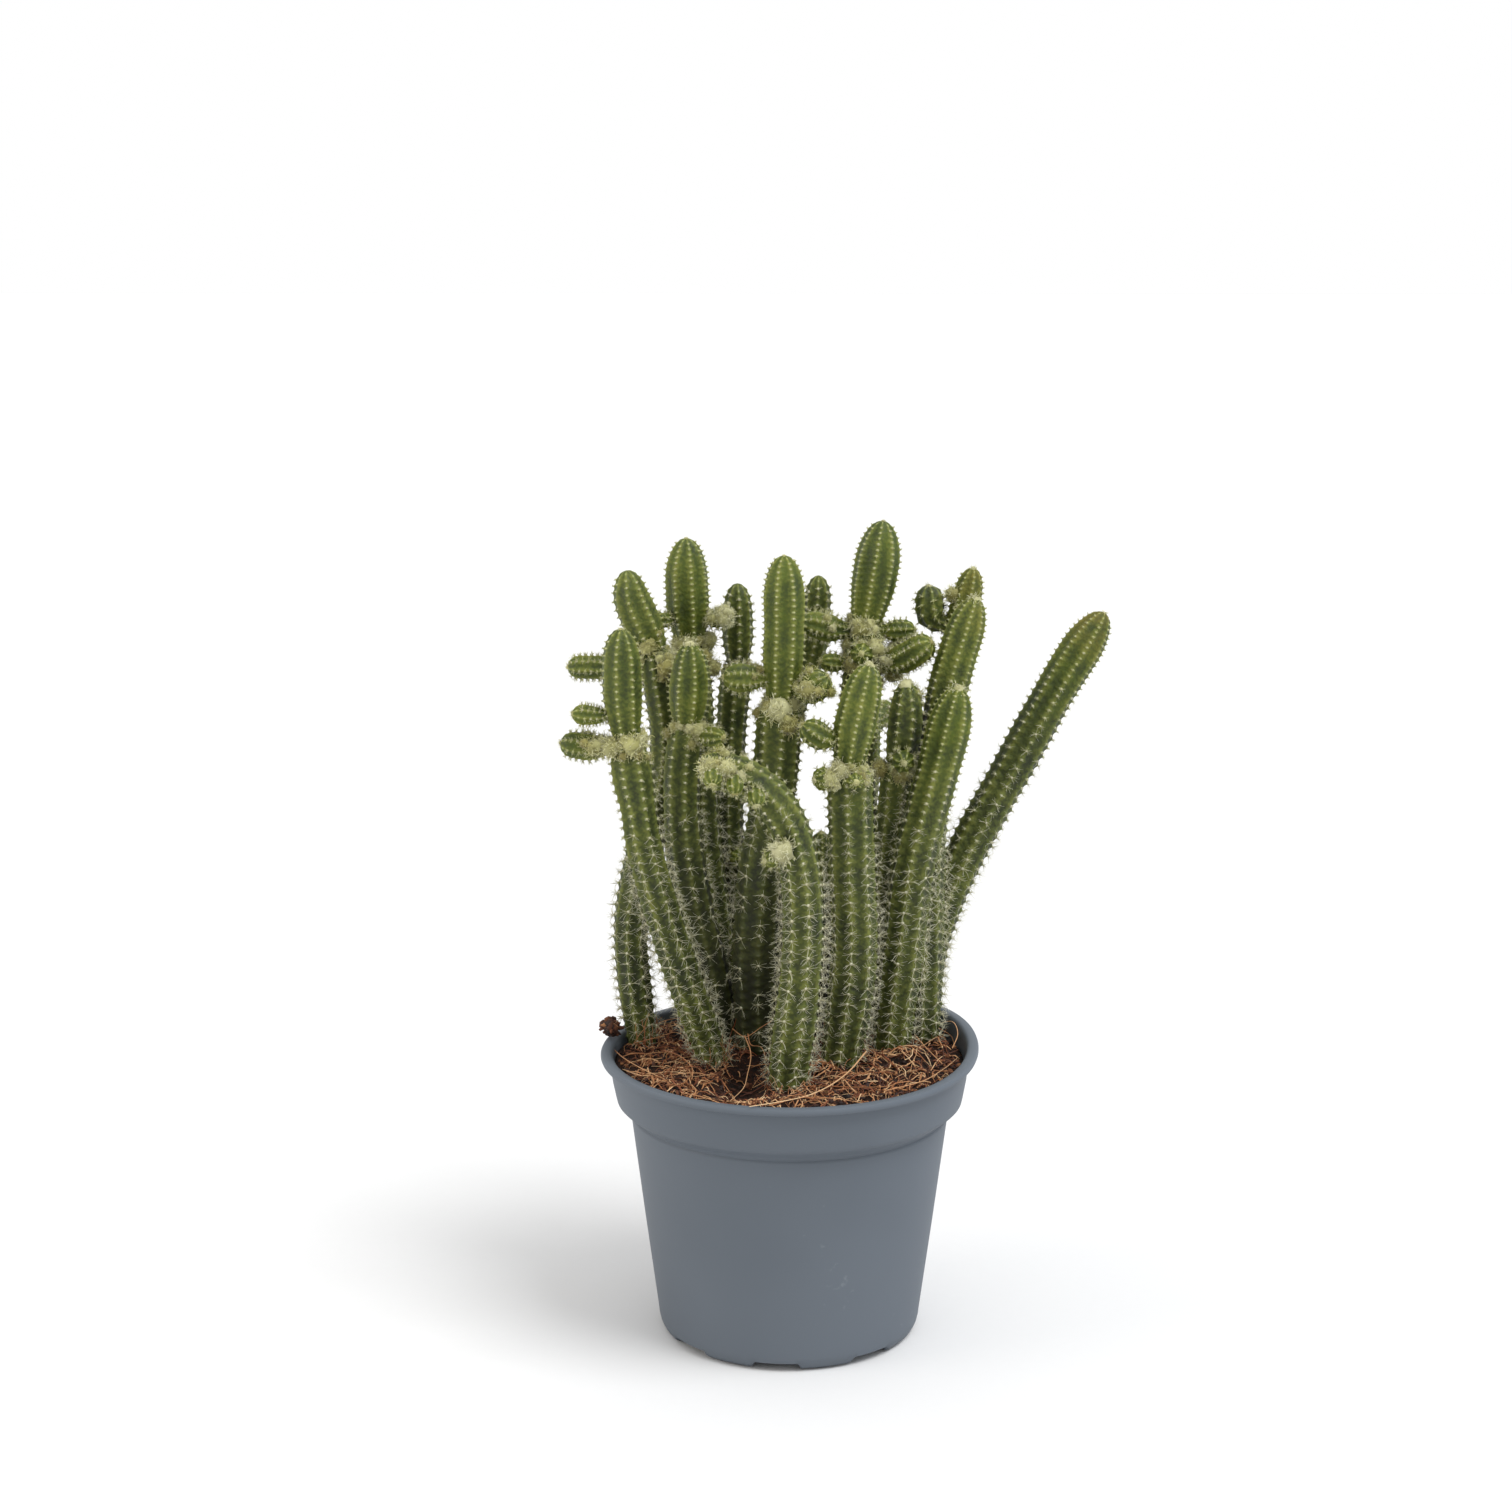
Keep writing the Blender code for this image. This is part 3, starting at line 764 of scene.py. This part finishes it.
def make_mop(build, tones, dice):
    """A ball of wool of radius 1, which is scaled as it is stamped."""
    hairs, girth, shortest, longest = MOP_BUILDS[build]
    shape = bmesh.new()
    flat = shape.loops.layers.uv.new("OFBake")
    bmesh.ops.create_icosphere(shape, subdivisions=2, radius=CORE_SHARE)
    tone, shift = dice.uniform(*tones), Vector([dice.uniform(0, 50) for _ in range(3)])
    for face in shape.faces:
        for corner in face.loops:
            corner[flat].uv = tone * 0.9 + 0.05 * (corner.vert.co.x + 1), 0.12 + 0.2 * (corner.vert.co.z + 1)
    for corner in shape.verts:
        corner.co *= 1 + 0.4 * noise.noise(corner.co * 3 + shift)
    for _ in range(hairs):
        out = any_way(dice)
        path = curl(out * CORE_SHARE * 0.8, out, dice.uniform(shortest, longest), 3, 0.9, dice)
        add_strand(shape, path, girth, dice.uniform(*tones), 0.5)
    return as_mesh(shape, "mop")


dice = random.Random(17)
mops = {
    (build, kind): [make_mop(build, tones, dice) for _ in range(MOPS_OF_A_TONE)]
    for kind, tones in WOOL_TONES.items()
    for build in MOP_BUILDS
}


def add_ball(shape, centre, size, kind, dice):
    build = "crown" if size > CROWN_FROM * MM else "small"
    place = Matrix.Translation(centre) @ any_turn(dice) @ Matrix.Scale(size, 4)
    stamp(shape, dice.choice(mops[build, kind]), place)


# %% [markdown]
# WOOL says which joints are woolly: for each limb, how far along it, how many balls go round it, which way
# the first one faces, the size of a ball in millimetres, and its tone. TIP_TUFTS gives the sizes of tufts
# on tips. LONE_BALLS are set one by one: the limb, how far along it, which way, the size, how far the
# middle of the ball stands out of the skin, as a share of its size, and its tone.

# %% Woolly joints and tips
WOOL = {
    "front_left": [(0.975, 9, -90, 3.4, CREAM), (0.945, 5, -120, 2.7, TAN)],
    "front_left_shoot_1": [(0.2, 6, -90, 3.1, CREAM), (0.5, 4, -90, 2.5, TAN)],
    "outer_left": [(0.97, 9, -90, 2.9, CREAM), (0.92, 5, -60, 2.5, TAN)],
    "outer_left_top": [(0.22, 5, -90, 2.2, BUD)],
    "outer_left_shoot_1": [(0.15, 4, -90, 2.2, CREAM)],
    "tall_left": [(0.985, 9, -90, 3.4, CREAM), (0.94, 7, -120, 3.0, TAN)],
    "tall_left_top": [(0.07, 5, -110, 2.6, CREAM)],
    "tall_left_top_shoot_1": [(0.35, 6, 0, 2.6, CREAM), (0.8, 5, 0, 2.4, PALE)],
    "middle_left": [(0.985, 9, -90, 3.0, CREAM), (0.95, 5, -60, 2.6, TAN)],
    "middle": [(0.985, 7, -95, 3.9, CREAM), (0.95, 5, -70, 3.0, TAN)],
    "middle_top_shoot_1": [(0.35, 5, -60, 2.0, TAN)],
    "middle_top_shoot_2": [(0.25, 6, -90, 2.7, CREAM), (0.7, 5, -60, 2.6, BUD)],
    "front_right": [(0.985, 8, -90, 3.1, CREAM), (0.955, 4, -110, 2.7, PALE)],
    "middle_right": [(0.98, 8, -90, 2.9, CREAM)],
    "tall_right": [(0.985, 9, -90, 3.5, CREAM), (0.94, 8, -60, 3.1, CREAM), (0.9, 6, -30, 2.8, TAN)],
    "tall_right_shoot_3": [(0.3, 6, -90, 2.6, PALE)],
    "tall_right_shoot_1": [(0.5, 5, -90, 2.3, CREAM)],
    "back_left": [(0.985, 7, -90, 2.2, TAN)],
    "front_centre": [(0.965, 8, -90, 3.1, BUD), (0.93, 7, -90, 2.9, CREAM), (0.89, 4, -90, 2.5, CREAM)],
    "back_right": [(0.88, 5, 180, 2.2, CREAM)],
    "rear_left": [(0.86, 5, 120, 2.3, CREAM)],
    "rear_right": [(0.9, 5, 60, 2.3, CREAM)],
}
TIP_TUFTS = {
    "middle_left_top": 3.1, "front_right_top": 3.0, "near_right": 3.1, "outer_right": 2.7,
    "back_right": 2.0, "leaning_right": 1.5, "tall_left_top": 1.2, "middle_top": 1.1,
    "middle_right_top": 3.6, "front_left_top": 1.6, "tall_right_top": 1.1, "rear_middle": 1.8,
}  # fmt: skip
SHOOT_TIP = 1.9
LONE_BALLS = [
    ("front_centre", 0.68, -125, 5.2, 0.25, PALE),
    ("front_right", 0.97, -60, 2.8, 0.3, BUD),
    ("middle", 0.975, -96, 6.0, -0.25, CREAM),
    ("middle", 0.94, -60, 4.4, -0.1, TAN),
    ("middle_top_shoot_2", 0.5, -90, 5.0, -0.4, CREAM),
    ("front_left", 0.972, -70, 4.9, -0.1, CREAM),
    ("front_left", 0.97, -150, 4.6, 0.0, CREAM),
    ("front_left_shoot_1", 0.35, -80, 4.2, -0.1, CREAM),
    ("tall_left", 0.98, -115, 4.7, -0.1, CREAM),
    ("tall_left", 0.95, -50, 4.5, 0.0, TAN),
    ("tall_left_top_shoot_1", 0.75, -60, 4.1, -0.3, PALE),
    ("outer_left", 0.95, -60, 4.4, 0.0, TAN),
    ("middle_left", 0.98, -40, 4.4, 0.0, CREAM),
    ("tall_right", 0.985, -110, 5.2, -0.1, CREAM),
    ("tall_right", 0.94, -60, 4.8, 0.0, CREAM),
    ("tall_right", 0.9, -120, 4.2, 0.0, TAN),
    ("front_right", 0.985, -120, 4.6, 0.0, PALE),
    ("middle_right", 0.97, -80, 4.3, 0.0, TAN),
    ("front_centre", 0.975, -90, 4.4, 0.0, CREAM),
    ("front_centre", 0.93, -60, 4.2, 0.1, CREAM),
    ("outer_left_top", 0.16, -110, 4.2, -0.2, TAN),
    ("outer_left", 0.93, -20, 4.6, 0.1, TAN),
    ("outer_left", 0.88, -10, 4.2, 0.1, TAN),
    ("front_right_shoot_1", 0.5, -90, 4.2, -0.3, CREAM),
    ("tall_left", 0.985, 0, 4.6, 0.2, CREAM),
    ("tall_left", 0.92, 0, 4.4, 0.1, TAN),
    ("tall_right", 0.9, -10, 5.2, 0.1, TAN),
    ("tall_right", 0.86, -40, 4.2, 0.0, CREAM),
    ("middle_right_top", 0.75, 60, 4.8, 0.0, TAN),
    ("middle_right", 0.97, 190, 4.2, 0.1, TAN),
    ("back_right", 0.9, 190, 4.1, -0.1, CREAM),
    ("tall_right", 0.93, 5, 4.8, 0.9, CREAM),
    ("tall_right", 0.88, 0, 4.4, 1.0, TAN),
    ("tall_right_shoot_1", 0.55, 90, 3.6, 0.0, CREAM),
]


def point_on(limb, share, heading):
    """A point on a limb's skin, a share of the way along it, on the side that faces a heading."""
    row = limb.row[-1] * share
    centre, along = Vector(limb.at(limb.centre, row)), Vector(limb.at(limb.along, row))
    out = Vector((math.cos(heading), math.sin(heading), 0.2))
    out = (out - along * out.dot(along)).normalized()
    return centre + out * float(limb.at(limb.girth, row)), out, along


by_stem = {}
for node, rows in WOOL.items():
    by_stem.setdefault(stem_of(node), []).extend((node, *row) for row in rows)
balls_made = 0
for stem, entries in by_stem.items():
    dice, shape = random.Random(stem + " wool"), bmesh.new()
    for node, share, balls, heading, size, kind in entries:
        for number in range(balls):
            turn = math.radians(heading) + number * math.tau / max(balls, 6)
            point, out, along = point_on(limbs[node], share, turn + dice.uniform(-0.35, 0.35))
            centre = point - out * 0.1 * size * MM + along * dice.uniform(-1.6, 1.6) * MM
            add_ball(shape, centre, size * MM * dice.uniform(0.65, 1.12), kind, dice)
        balls_made += balls
    make_piece(f"{stem}_wool", shape, [wool], "wool")

dice, shape = random.Random(31), bmesh.new()
for node, limb in limbs.items():
    size = TIP_TUFTS.get(node, SHOOT_TIP if "_shoot" in node else 0)
    if size:
        tip, along = Vector(limb.centre[-1]), Vector(limb.along[-1])
        add_ball(shape, tip - along * 0.45 * size * MM, size * MM, PALE if size > SHOOT_TIP else CREAM, dice)
for node, share, heading, size, proud, kind in LONE_BALLS:
    point, out, _ = point_on(limbs[node], share, math.radians(heading))
    add_ball(shape, point + out * proud * size * MM, size * MM, kind, dice)
make_piece("tip_wool", shape, [wool], "wool")
print("balls of wool:", balls_made)

# %% [markdown]
# ## The pot
# A nursery pot is blown or pressed in one thin skin, so it is a turned profile: up the outside, over the
# rolled lip and down the inside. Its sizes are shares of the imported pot's box. Eight gaps in the foot
# ring let water out, and each is made by lifting the rings of the foot where it runs. A fine groove runs
# round the body just under the collar. Such a pot is soft, and its rim is bent up a little at the back
# right, where the leaning stem presses on it.

# %% Turning the pot
POT_STEPS = 192
pot_low, pot_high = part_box("pot")
HEIGHT = pot_high.z / MM
RIM = (pot_high.x - pot_low.x) / 2 / MM
GAPS, GAP_TURN, GAP_HALF, GAP_HEIGHT = 8, math.radians(-5.6), 7.6, 2.5
DRAIN_CIRCLE, DRAIN_RADIUS = 29.0, 4.0
LIFT, LIFT_TURN, LIFT_WIDTH = 4.6 * MM, math.radians(30), math.radians(46)
COLLAR_FOOT = 77
OUTSIDE = [
    (0.0, 0), (6.6, 0), (7.3, 0.3), (7.8, 2.7), (8.3, 3.0), (34.9, 3.0), (35.4, 2.6), (35.7, 0.4), (36.1, 0),
    (38.2, 0), (39.5, 0.45), (40.7, 1.3), (41.5, 2.9), (41.9, 4.6), (42.1, 6.5), (46.0, 36.0), (50.45, 71.2),
    (50.5, 71.8), (50.17, 72.3), (50.25, 72.8), (51.0, 73.6), (52.7, 74.9), (54.3, 76.0), (54.95, 76.7),
    (55.2, 77.7), (56.3, 83.0), (57.05, 88.4), (57.35, 89.3), (58.1, 89.7), (59.2, 89.75), (59.75, 90.0),
    (60.0, 90.6), (60.0, 91.2), (59.75, 91.75), (59.2, 92.0),
]  # fmt: skip
INSIDE = [
    (57.3, 92.0), (56.7, 91.8), (56.2, 91.2), (55.9, 89.5), (54.2, 77.8), (53.8, 77.0), (49.9, 73.6),
    (49.3, 72.2), (44.9, 36.0), (41.0, 7.0), (40.3, 5.0), (39.2, 4.1), (0.0, 4.1),
]  # fmt: skip


def turn_profile(outline, steps):
    shape = bmesh.new()
    corners = [shape.verts.new((radius * MM, 0, height * MM)) for radius, height in outline]
    edges = [shape.edges.new(pair) for pair in zip(corners, corners[1:])]
    bmesh.ops.spin(
        shape, geom=corners + edges, axis=(0, 0, 1), cent=(0, 0, 0),
        angle=math.tau, steps=steps, use_merge=True,
    )  # fmt: skip
    bmesh.ops.remove_doubles(shape, verts=shape.verts, dist=WELD)
    return shape


fit = [(radius * RIM / 60.0, height * HEIGHT / 92.0) for radius, height in OUTSIDE + INSIDE]
shape = turn_profile(fit, POT_STEPS)
for corner in shape.verts:
    radius, turn = math.hypot(corner.co.x, corner.co.y), math.atan2(corner.co.x, -corner.co.y)
    around = (turn - GAP_TURN + math.pi / GAPS) % (math.tau / GAPS) - math.pi / GAPS
    if radius > 34 * MM and abs(around * radius) < GAP_HALF * MM:
        corner.co.z = max(corner.co.z, GAP_HEIGHT * MM)
    off_peak = (math.atan2(corner.co.y, corner.co.x) - LIFT_TURN) / LIFT_WIDTH
    up_collar = max(0, (corner.co.z / MM - COLLAR_FOOT) / (HEIGHT - COLLAR_FOOT))
    corner.co.z += LIFT * math.exp(-(off_peak**2)) * up_collar
bmesh.ops.recalc_face_normals(shape, faces=shape.faces)
pot = make_piece("grower_pot", shape, [pot_plastic], "pot_plastic", "pot")

# %% [markdown]
# Eight round drain holes go through the floor. A Boolean cuts them all at once, and is then made part of
# the mesh, so that nothing is left to compute.

# %% Drilling the drain holes
drills = bmesh.new()
for number in range(GAPS):
    turn = GAP_TURN + number * math.tau / GAPS
    x, y = math.sin(turn) * DRAIN_CIRCLE * MM, -math.cos(turn) * DRAIN_CIRCLE * MM
    spot = Matrix.Translation((x, y, 3.5 * MM))
    bmesh.ops.create_cone(
        drills, cap_ends=True, segments=24, radius1=DRAIN_RADIUS * MM, radius2=DRAIN_RADIUS * MM,
        depth=4 * MM, matrix=spot,
    )  # fmt: skip
drill_object = bpy.data.objects.new("drills", as_mesh(drills, "drills"))
bpy.context.scene.collection.objects.link(drill_object)
cut = pot.modifiers.new("drain holes", "BOOLEAN")
cut.object, cut.operation, cut.solver = drill_object, "DIFFERENCE", "EXACT"
bpy.context.view_layer.update()
drilled = bpy.data.meshes.new_from_object(pot.evaluated_get(bpy.context.evaluated_depsgraph_get()))
pot.modifiers.remove(cut)
pot.data = drilled
drilled.shade_smooth()
drilled.set_sharp_from_angle(angle=math.radians(40))
bpy.data.objects.remove(drill_object)
print("pot faces:", len(drilled.polygons))

# %% [markdown]
# ## The potting mix
# The mix is coir: brown pith with long fibres in it. Its body is turned like the pot and its top is
# pushed up and down by noise, with a heap at the right and a dark hollow between the two front stems.
# Crumbs and fibres then cover it, because its look is all in them.

# %% The body of the mix
mix_low, mix_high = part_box("potting_mix")
MIX_RADIUS = (mix_high.x - mix_low.x) / 2
MIX_EDGE = 87.4 * MM
DOME = mix_high.z - MIX_EDGE
LUMP = 2.4 * MM
BANK = 1.2 * MM
HEAP, HEAP_PLACE, HEAP_WIDTH = 2.6 * MM, Vector((44 * MM, 6 * MM)), 17 * MM
HOLLOW, HOLLOW_PLACE = 4.6 * MM, Vector((-12 * MM, -16 * MM))
HOLLOW_WIDTH, HOLLOW_LENGTH = 7.5 * MM, 21 * MM
COARSE, FINE = 95, 330


def hollow_share(x, y):
    """1 in the middle of the hollow between the two front stems, and 0 away from it."""
    across, along = (x - HOLLOW_PLACE.x) / HOLLOW_WIDTH, (y - HOLLOW_PLACE.y) / HOLLOW_LENGTH
    return math.exp(-(across**2) - along**2)


def fell_in(x, y, edge, chance, dice):
    """Whether a crumb or a fibre here has dropped out of sight into the hollow."""
    return hollow_share(x, y) > edge and dice.random() < chance


def mix_height(x, y):
    """The height of the mix's surface over a point of the floor."""
    away = math.hypot(x, y) / MIX_RADIUS
    dome = MIX_EDGE + DOME * (1 - away * away)
    coarse = noise.noise(Vector((x, y, 0)) * COARSE)
    fine = noise.noise(Vector((x, y, 3)) * FINE)
    heap = HEAP * math.exp(-(((Vector((x, y)) - HEAP_PLACE).length / HEAP_WIDTH) ** 2))
    level = LUMP * (coarse + 0.45 * fine) + heap - HOLLOW * hollow_share(x, y)
    return dome + BANK * away**6 + level * min(1, 9 * (1 - away))


rings = np.linspace(1, 0, 46)
wall = [(0, 5.0), (38.0, 5.0), (39.9, 7.4), (48.7, 72.6), (53.2, 77.2)]
top = [(MIX_RADIUS / MM * share, 87.4) for share in rings]
shape = turn_profile(wall + top, 150)
for corner in shape.verts:
    if corner.co.z > 87 * MM:
        corner.co.z = mix_height(corner.co.x, corner.co.y)
bmesh.ops.recalc_face_normals(shape, faces=shape.faces)
make_piece("mix_body", shape, [earth], "potting_mix", "potting_mix")

# %% [markdown]
# Crumbs are small dented lumps, in a few shapes, which are stamped at any turn. Few of them are seen in
# the hollow.

# %% Crumbs
CRUMBS = 2600
CRUMB_SHAPES = 16


def make_crumb(dice):
    shape = bmesh.new()
    flat = shape.loops.layers.uv.new("OFBake")
    bmesh.ops.create_icosphere(shape, subdivisions=1, radius=1)
    tone, shift = dice.random(), Vector([dice.uniform(0, 50) for _ in range(3)])
    stretch = Vector((1, dice.uniform(0.45, 0.9), dice.uniform(0.35, 0.8)))
    for face in shape.faces:
        for corner in face.loops:
            corner[flat].uv = tone * 0.9 + 0.05 * (corner.vert.co.x + 1), 0.5 + 0.45 * corner.vert.co.z
    for corner in shape.verts:
        corner.co = corner.co * stretch * (1 + 0.6 * noise.noise(corner.co * 1.7 + shift)) * MM
    return as_mesh(shape, "crumb")


dice, shape = random.Random(5), bmesh.new()
crumbs = [make_crumb(dice) for _ in range(CRUMB_SHAPES)]
for _ in range(CRUMBS):
    away, turn = MIX_RADIUS * math.sqrt(dice.random()) * 0.985, dice.uniform(0, math.tau)
    x, y = away * math.cos(turn), away * math.sin(turn)
    size = 0.35 + 1.1 * dice.random() ** 2.5
    if fell_in(x, y, 0.25, 0.7, dice):
        continue
    spot = Matrix.Translation((x, y, mix_height(x, y) + 0.3 * size * MM))
    stamp(shape, dice.choice(crumbs), spot @ any_turn(dice) @ Matrix.Scale(size, 4))
make_piece("mix_crumbs", shape, [crumb_finish], "potting_mix")

# %% [markdown]
# One bigger crumb of mix has spilled on to the left of the lip. It is a dented ball with crumbs in it.

# %% The crumb on the lip
crumb_low, crumb_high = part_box("rim_crumb")
middle, half = (crumb_low + crumb_high) / 2, (crumb_high - crumb_low) / 2
dice, shape = random.Random(9), bmesh.new()
for _ in range(90):
    out = any_way(dice) * dice.uniform(0.3, 0.85)
    spot = Matrix.Translation(middle + Vector(a * b for a, b in zip(out, half)))
    stamp(shape, dice.choice(crumbs[:8]), spot @ any_turn(dice) @ Matrix.Scale(dice.uniform(0.8, 1.9), 4))
make_piece("lip_crumb", shape, [crumb_finish], "potting_mix", "rim_crumb")

# %% [markdown]
# Coir fibres lie every way on the mix, half sunk in it. Each follows the surface, and bends back before
# it reaches the wall. Fine ones are many and short, and painted darker in the hollows, as shade.

# %% Fibres on the mix
FIBRES = 2600
WALL_REACH = 0.975


def wandering(x, y, heading, length, steps, dice):
    """A path on the surface of the mix, which turns in before it meets the wall."""
    path, bend = [], dice.uniform(-0.3, 0.3)
    lift = dice.uniform(-0.2, 1.0) * MM
    for step in range(steps + 1):
        arch = math.sin(math.pi * step / steps) * dice.uniform(0.2, 1.3) * MM
        path.append(Vector((x, y, mix_height(x, y) + lift + arch)))
        heading += bend + dice.uniform(-0.35, 0.35)
        x, y = x + math.cos(heading) * length / steps, y + math.sin(heading) * length / steps
        away = math.hypot(x, y) / MIX_RADIUS
        if away > WALL_REACH:
            x, y = x * WALL_REACH / away, y * WALL_REACH / away
            heading = math.atan2(y, x) + math.copysign(1.9, bend)
    return path


def in_painted_shade(x, y):
    """True in the hollows of the mix, where the fibres are painted darker, as shade."""
    return noise.noise(Vector((x, y, 0)) * COARSE) < -0.05 or hollow_share(x, y) > 0.4


dice, shape = random.Random(12), bmesh.new()
for _ in range(FIBRES):
    away, turn = MIX_RADIUS * math.sqrt(dice.random()) * 0.93, dice.uniform(0, math.tau)
    x, y = away * math.cos(turn), away * math.sin(turn)
    length = (2.5 + 16 * dice.random() ** 3.5) * MM
    girth = dice.uniform(0.1, 0.3) * MM
    # Painted shade: fibres in the hollows get darker tones.
    tone = dice.random() ** (2.8 if in_painted_shade(x, y) else 0.65)
    if fell_in(x, y, 0.22, 0.88, dice):
        continue
    path = wandering(x, y, dice.uniform(0, math.tau), length, 5, dice)
    add_strand(shape, path, girth, tone, 0.5)
make_piece("short_fibres", shape, [coir_fibre], "coir_fibre")

# %% [markdown]
# Some coir has stuck to the stems where they were pressed into the mix. These fibres start in the mix at
# the foot of a stem and climb a few millimetres up its bristles. Two stems have longer and thicker tufts
# of them. A fibre that would go through the pot's wall is left out.

# %% Coir round the feet of the stems
CLIMBERS = 26
CLIMB = 9 * MM
TUFTED_FEET = {"outer_left": 2.2, "front_left": 1.9}

dice, shape = random.Random(41), bmesh.new()
for limb in limbs.values():
    if not limb.is_stem:
        continue
    foot = float(np.interp(MIX_TOP, limb.centre[:, 2], limb.row))
    more = TUFTED_FEET.get(limb.node, 1)
    flare = 0.5 / more**2
    for _ in range(round(CLIMBERS * more)):
        turn = dice.uniform(0, math.tau)
        point, out, along = point_on(limb, min(1, foot / limb.row[-1]), turn)
        point += out * dice.uniform(0.2, 1.6) * MM - along * 2 * MM
        aim = along + out * dice.uniform(-0.1, flare) + Vector([dice.uniform(-0.6, 0.6) for _ in range(3)])
        path = curl(point, aim, dice.uniform(0.35, 1) * CLIMB * math.sqrt(more), 5, 0.4, dice)
        girth, tone = dice.uniform(0.09, 0.2) * MM, dice.uniform(0.1, 0.9)
        if all(place.z > LIP_TOP or math.hypot(place.x, place.y) < MIX_RADIUS * WALL_REACH for place in path):
            add_strand(shape, path, girth, tone, 0.5)
make_piece("climbing_fibres", shape, [coir_fibre], "coir_fibre")

# %% [markdown]
# A few long pale roots are laid one by one: they sweep over the front, and one lies across the lip. Each is
# a smooth curve through a few points, in millimetres, cut into even steps.

# %% Long roots
LONG_FIBRES = [
    (0.26, 0.9, ((24, -15, 96), (18, -27, 93), (8, -42, 91.5), (-3, -54, 92.6), (-12, -59, 92.8))),
    (0.2, 0.75, ((-33, -41, 91), (-25, -49, 92), (-16, -53, 90), (-9, -56, 90))),
    (0.22, 0.8, ((-14, -15, 101), (-12, -20, 97), (-13, -27, 92), (-14, -36, 91), (-18, -46, 90))),
    (0.2, 0.7, ((-2, -14, 108), (-9, -16, 104), (-14, -16, 101), (-18, -14, 103))),
    (0.18, 0.7, ((-13, -16, 102), (-12, -18, 99), (-9, -17, 98), (-7, -19, 94))),
    (0.2, 0.75, ((-56, 4, 90), (-52, -8, 91), (-46, -18, 91), (-38, -26, 90))),
    (0.2, 0.8, ((30, -38, 91), (40, -33, 92), (48, -20, 92), (53, -6, 91))),
    (0.2, 0.85, ((52, 4, 91), (54, 10, 94), (52, 17, 96), (47, 18, 94), (44, 13, 90))),
    (0.18, 0.8, ((48, -12, 91), (43, -4, 94), (40, 6, 95), (42, 12, 91))),
    (0.2, 0.65, ((10, -34, 91), (20, -38, 92), (30, -34, 91), (36, -24, 90))),
    (0.2, 0.6, ((-40, -2, 92), (-34, -12, 93), (-30, -24, 92), (-34, -34, 90))),
    (0.18, 0.7, ((-50, 8, 91), (-42, 2, 95), (-36, 4, 96), (-30, 0, 91))),
    (0.16, 0.7, ((-6, -50, 90), (4, -48, 92), (14, -49, 92), (22, -47, 90))),
    (0.18, 0.75, ((20, 44, 91), (8, 50, 92), (-6, 51, 92), (-18, 46, 90))),
    (0.18, 0.7, ((-30, 40, 90), (-40, 30, 92), (-46, 20, 92), (-50, 12, 90))),
    (0.18, 0.6, ((40, 36, 90), (46, 26, 92), (52, 18, 91), (53, 8, 90))),
]
shape = bmesh.new()
for girth, tone, points in LONG_FIBRES:
    points = np.array(points, float) * MM
    places = np.append(0, np.cumsum(np.linalg.norm(np.diff(points, axis=0), axis=1)))
    path = [Vector(point) for point in smooth(points, places, np.linspace(0, places[-1], 25))]
    add_strand(shape, path, girth * MM, tone, 0.5)
make_piece("long_fibres", shape, [coir_fibre], "coir_fibre")
print("long fibres:", len(LONG_FIBRES))

# %% [markdown]
# ## The studio
# The pot stands on a pale floor under an even white sky, with a broad soft sun high at the front right.
# A faint warm lamp on the left lifts the pot's left edge, and a bluish one cools its right side. The
# camera looks a little down on the pot.

# %% Floor, lamps and sky
def add_to_scene(name, data, place, aim=None):
    thing = bpy.data.objects.new(name, data)
    bpy.context.scene.collection.objects.link(thing)
    thing.location = place
    if aim is not None:
        thing.rotation_euler = (Vector(aim) - Vector(place)).to_track_quat("-Z", "Y").to_euler()
    return thing


def add_lamp(name, kind, size, power, colour, place):
    lamp = bpy.data.lights.new(name, kind)
    lamp.energy, lamp.color = power, colour
    if kind == "SUN":
        lamp.angle = size
    else:
        lamp.size = size
    add_to_scene(name, lamp, place, (0, 0, 0.12))


paper = Finish("floor_paper", Specular_IOR_Level=0.1)
tooth = paper.grain(300, 3)
colour = tooth.between(paint(214, 214, 214), paint(216, 216, 216))
paper.feed(paper.shader, {"Base Color": colour, "Roughness": 0.85 + 0.1 * tooth})
shape = bmesh.new()
bmesh.ops.create_grid(shape, x_segments=8, y_segments=8, size=6)
floor_mesh = as_mesh(shape, "floor")
floor_mesh.materials.append(paper.material)
add_to_scene("floor", floor_mesh, (0, 0, 0))

world = bpy.data.worlds.new("white_sky")
world.use_nodes = True
world.node_tree.nodes["Background"].inputs[0].default_value = (1, 1, 1, 1)
world.node_tree.nodes["Background"].inputs[1].default_value = 1.0
bpy.context.scene.world = world
bpy.context.scene.view_settings.view_transform = "Standard"

add_lamp("key", "SUN", math.radians(30), 2.1, (0.98, 0.99, 1.0), (0.66, -0.46, 1.45))
add_lamp("left_fill", "AREA", 0.5, 2.6, (1.0, 0.93, 0.84), (-1.0, -0.3, 0.45))
add_lamp("right_rim", "AREA", 0.6, 0.7, (0.25, 0.55, 1.0), (1.1, 0.15, 0.35))

# %% The camera
CAMERA_PLACE = (0, -0.890, 0.378)
LOOK_DOWN, LOOK_LEFT = math.radians(12.1), math.radians(0.6862)
lens = bpy.data.cameras.new("camera")
lens.lens, lens.sensor_width = 69.6, 36
camera = add_to_scene("camera", lens, CAMERA_PLACE)
camera.rotation_euler = (math.pi / 2 - LOOK_DOWN, 0, LOOK_LEFT)
bpy.context.scene.camera = camera

# %% [markdown]
# The count of triangles shows what the fine detail costs.

# %% Counting triangles
triangles = {}
for piece in bpy.data.objects:
    if piece.type == "MESH":
        piece.data.calc_loop_triangles()
        triangles[piece.name] = len(piece.data.loop_triangles)
print("triangles:", sum(triangles.values()), "the most in one piece:", max(triangles.values()))
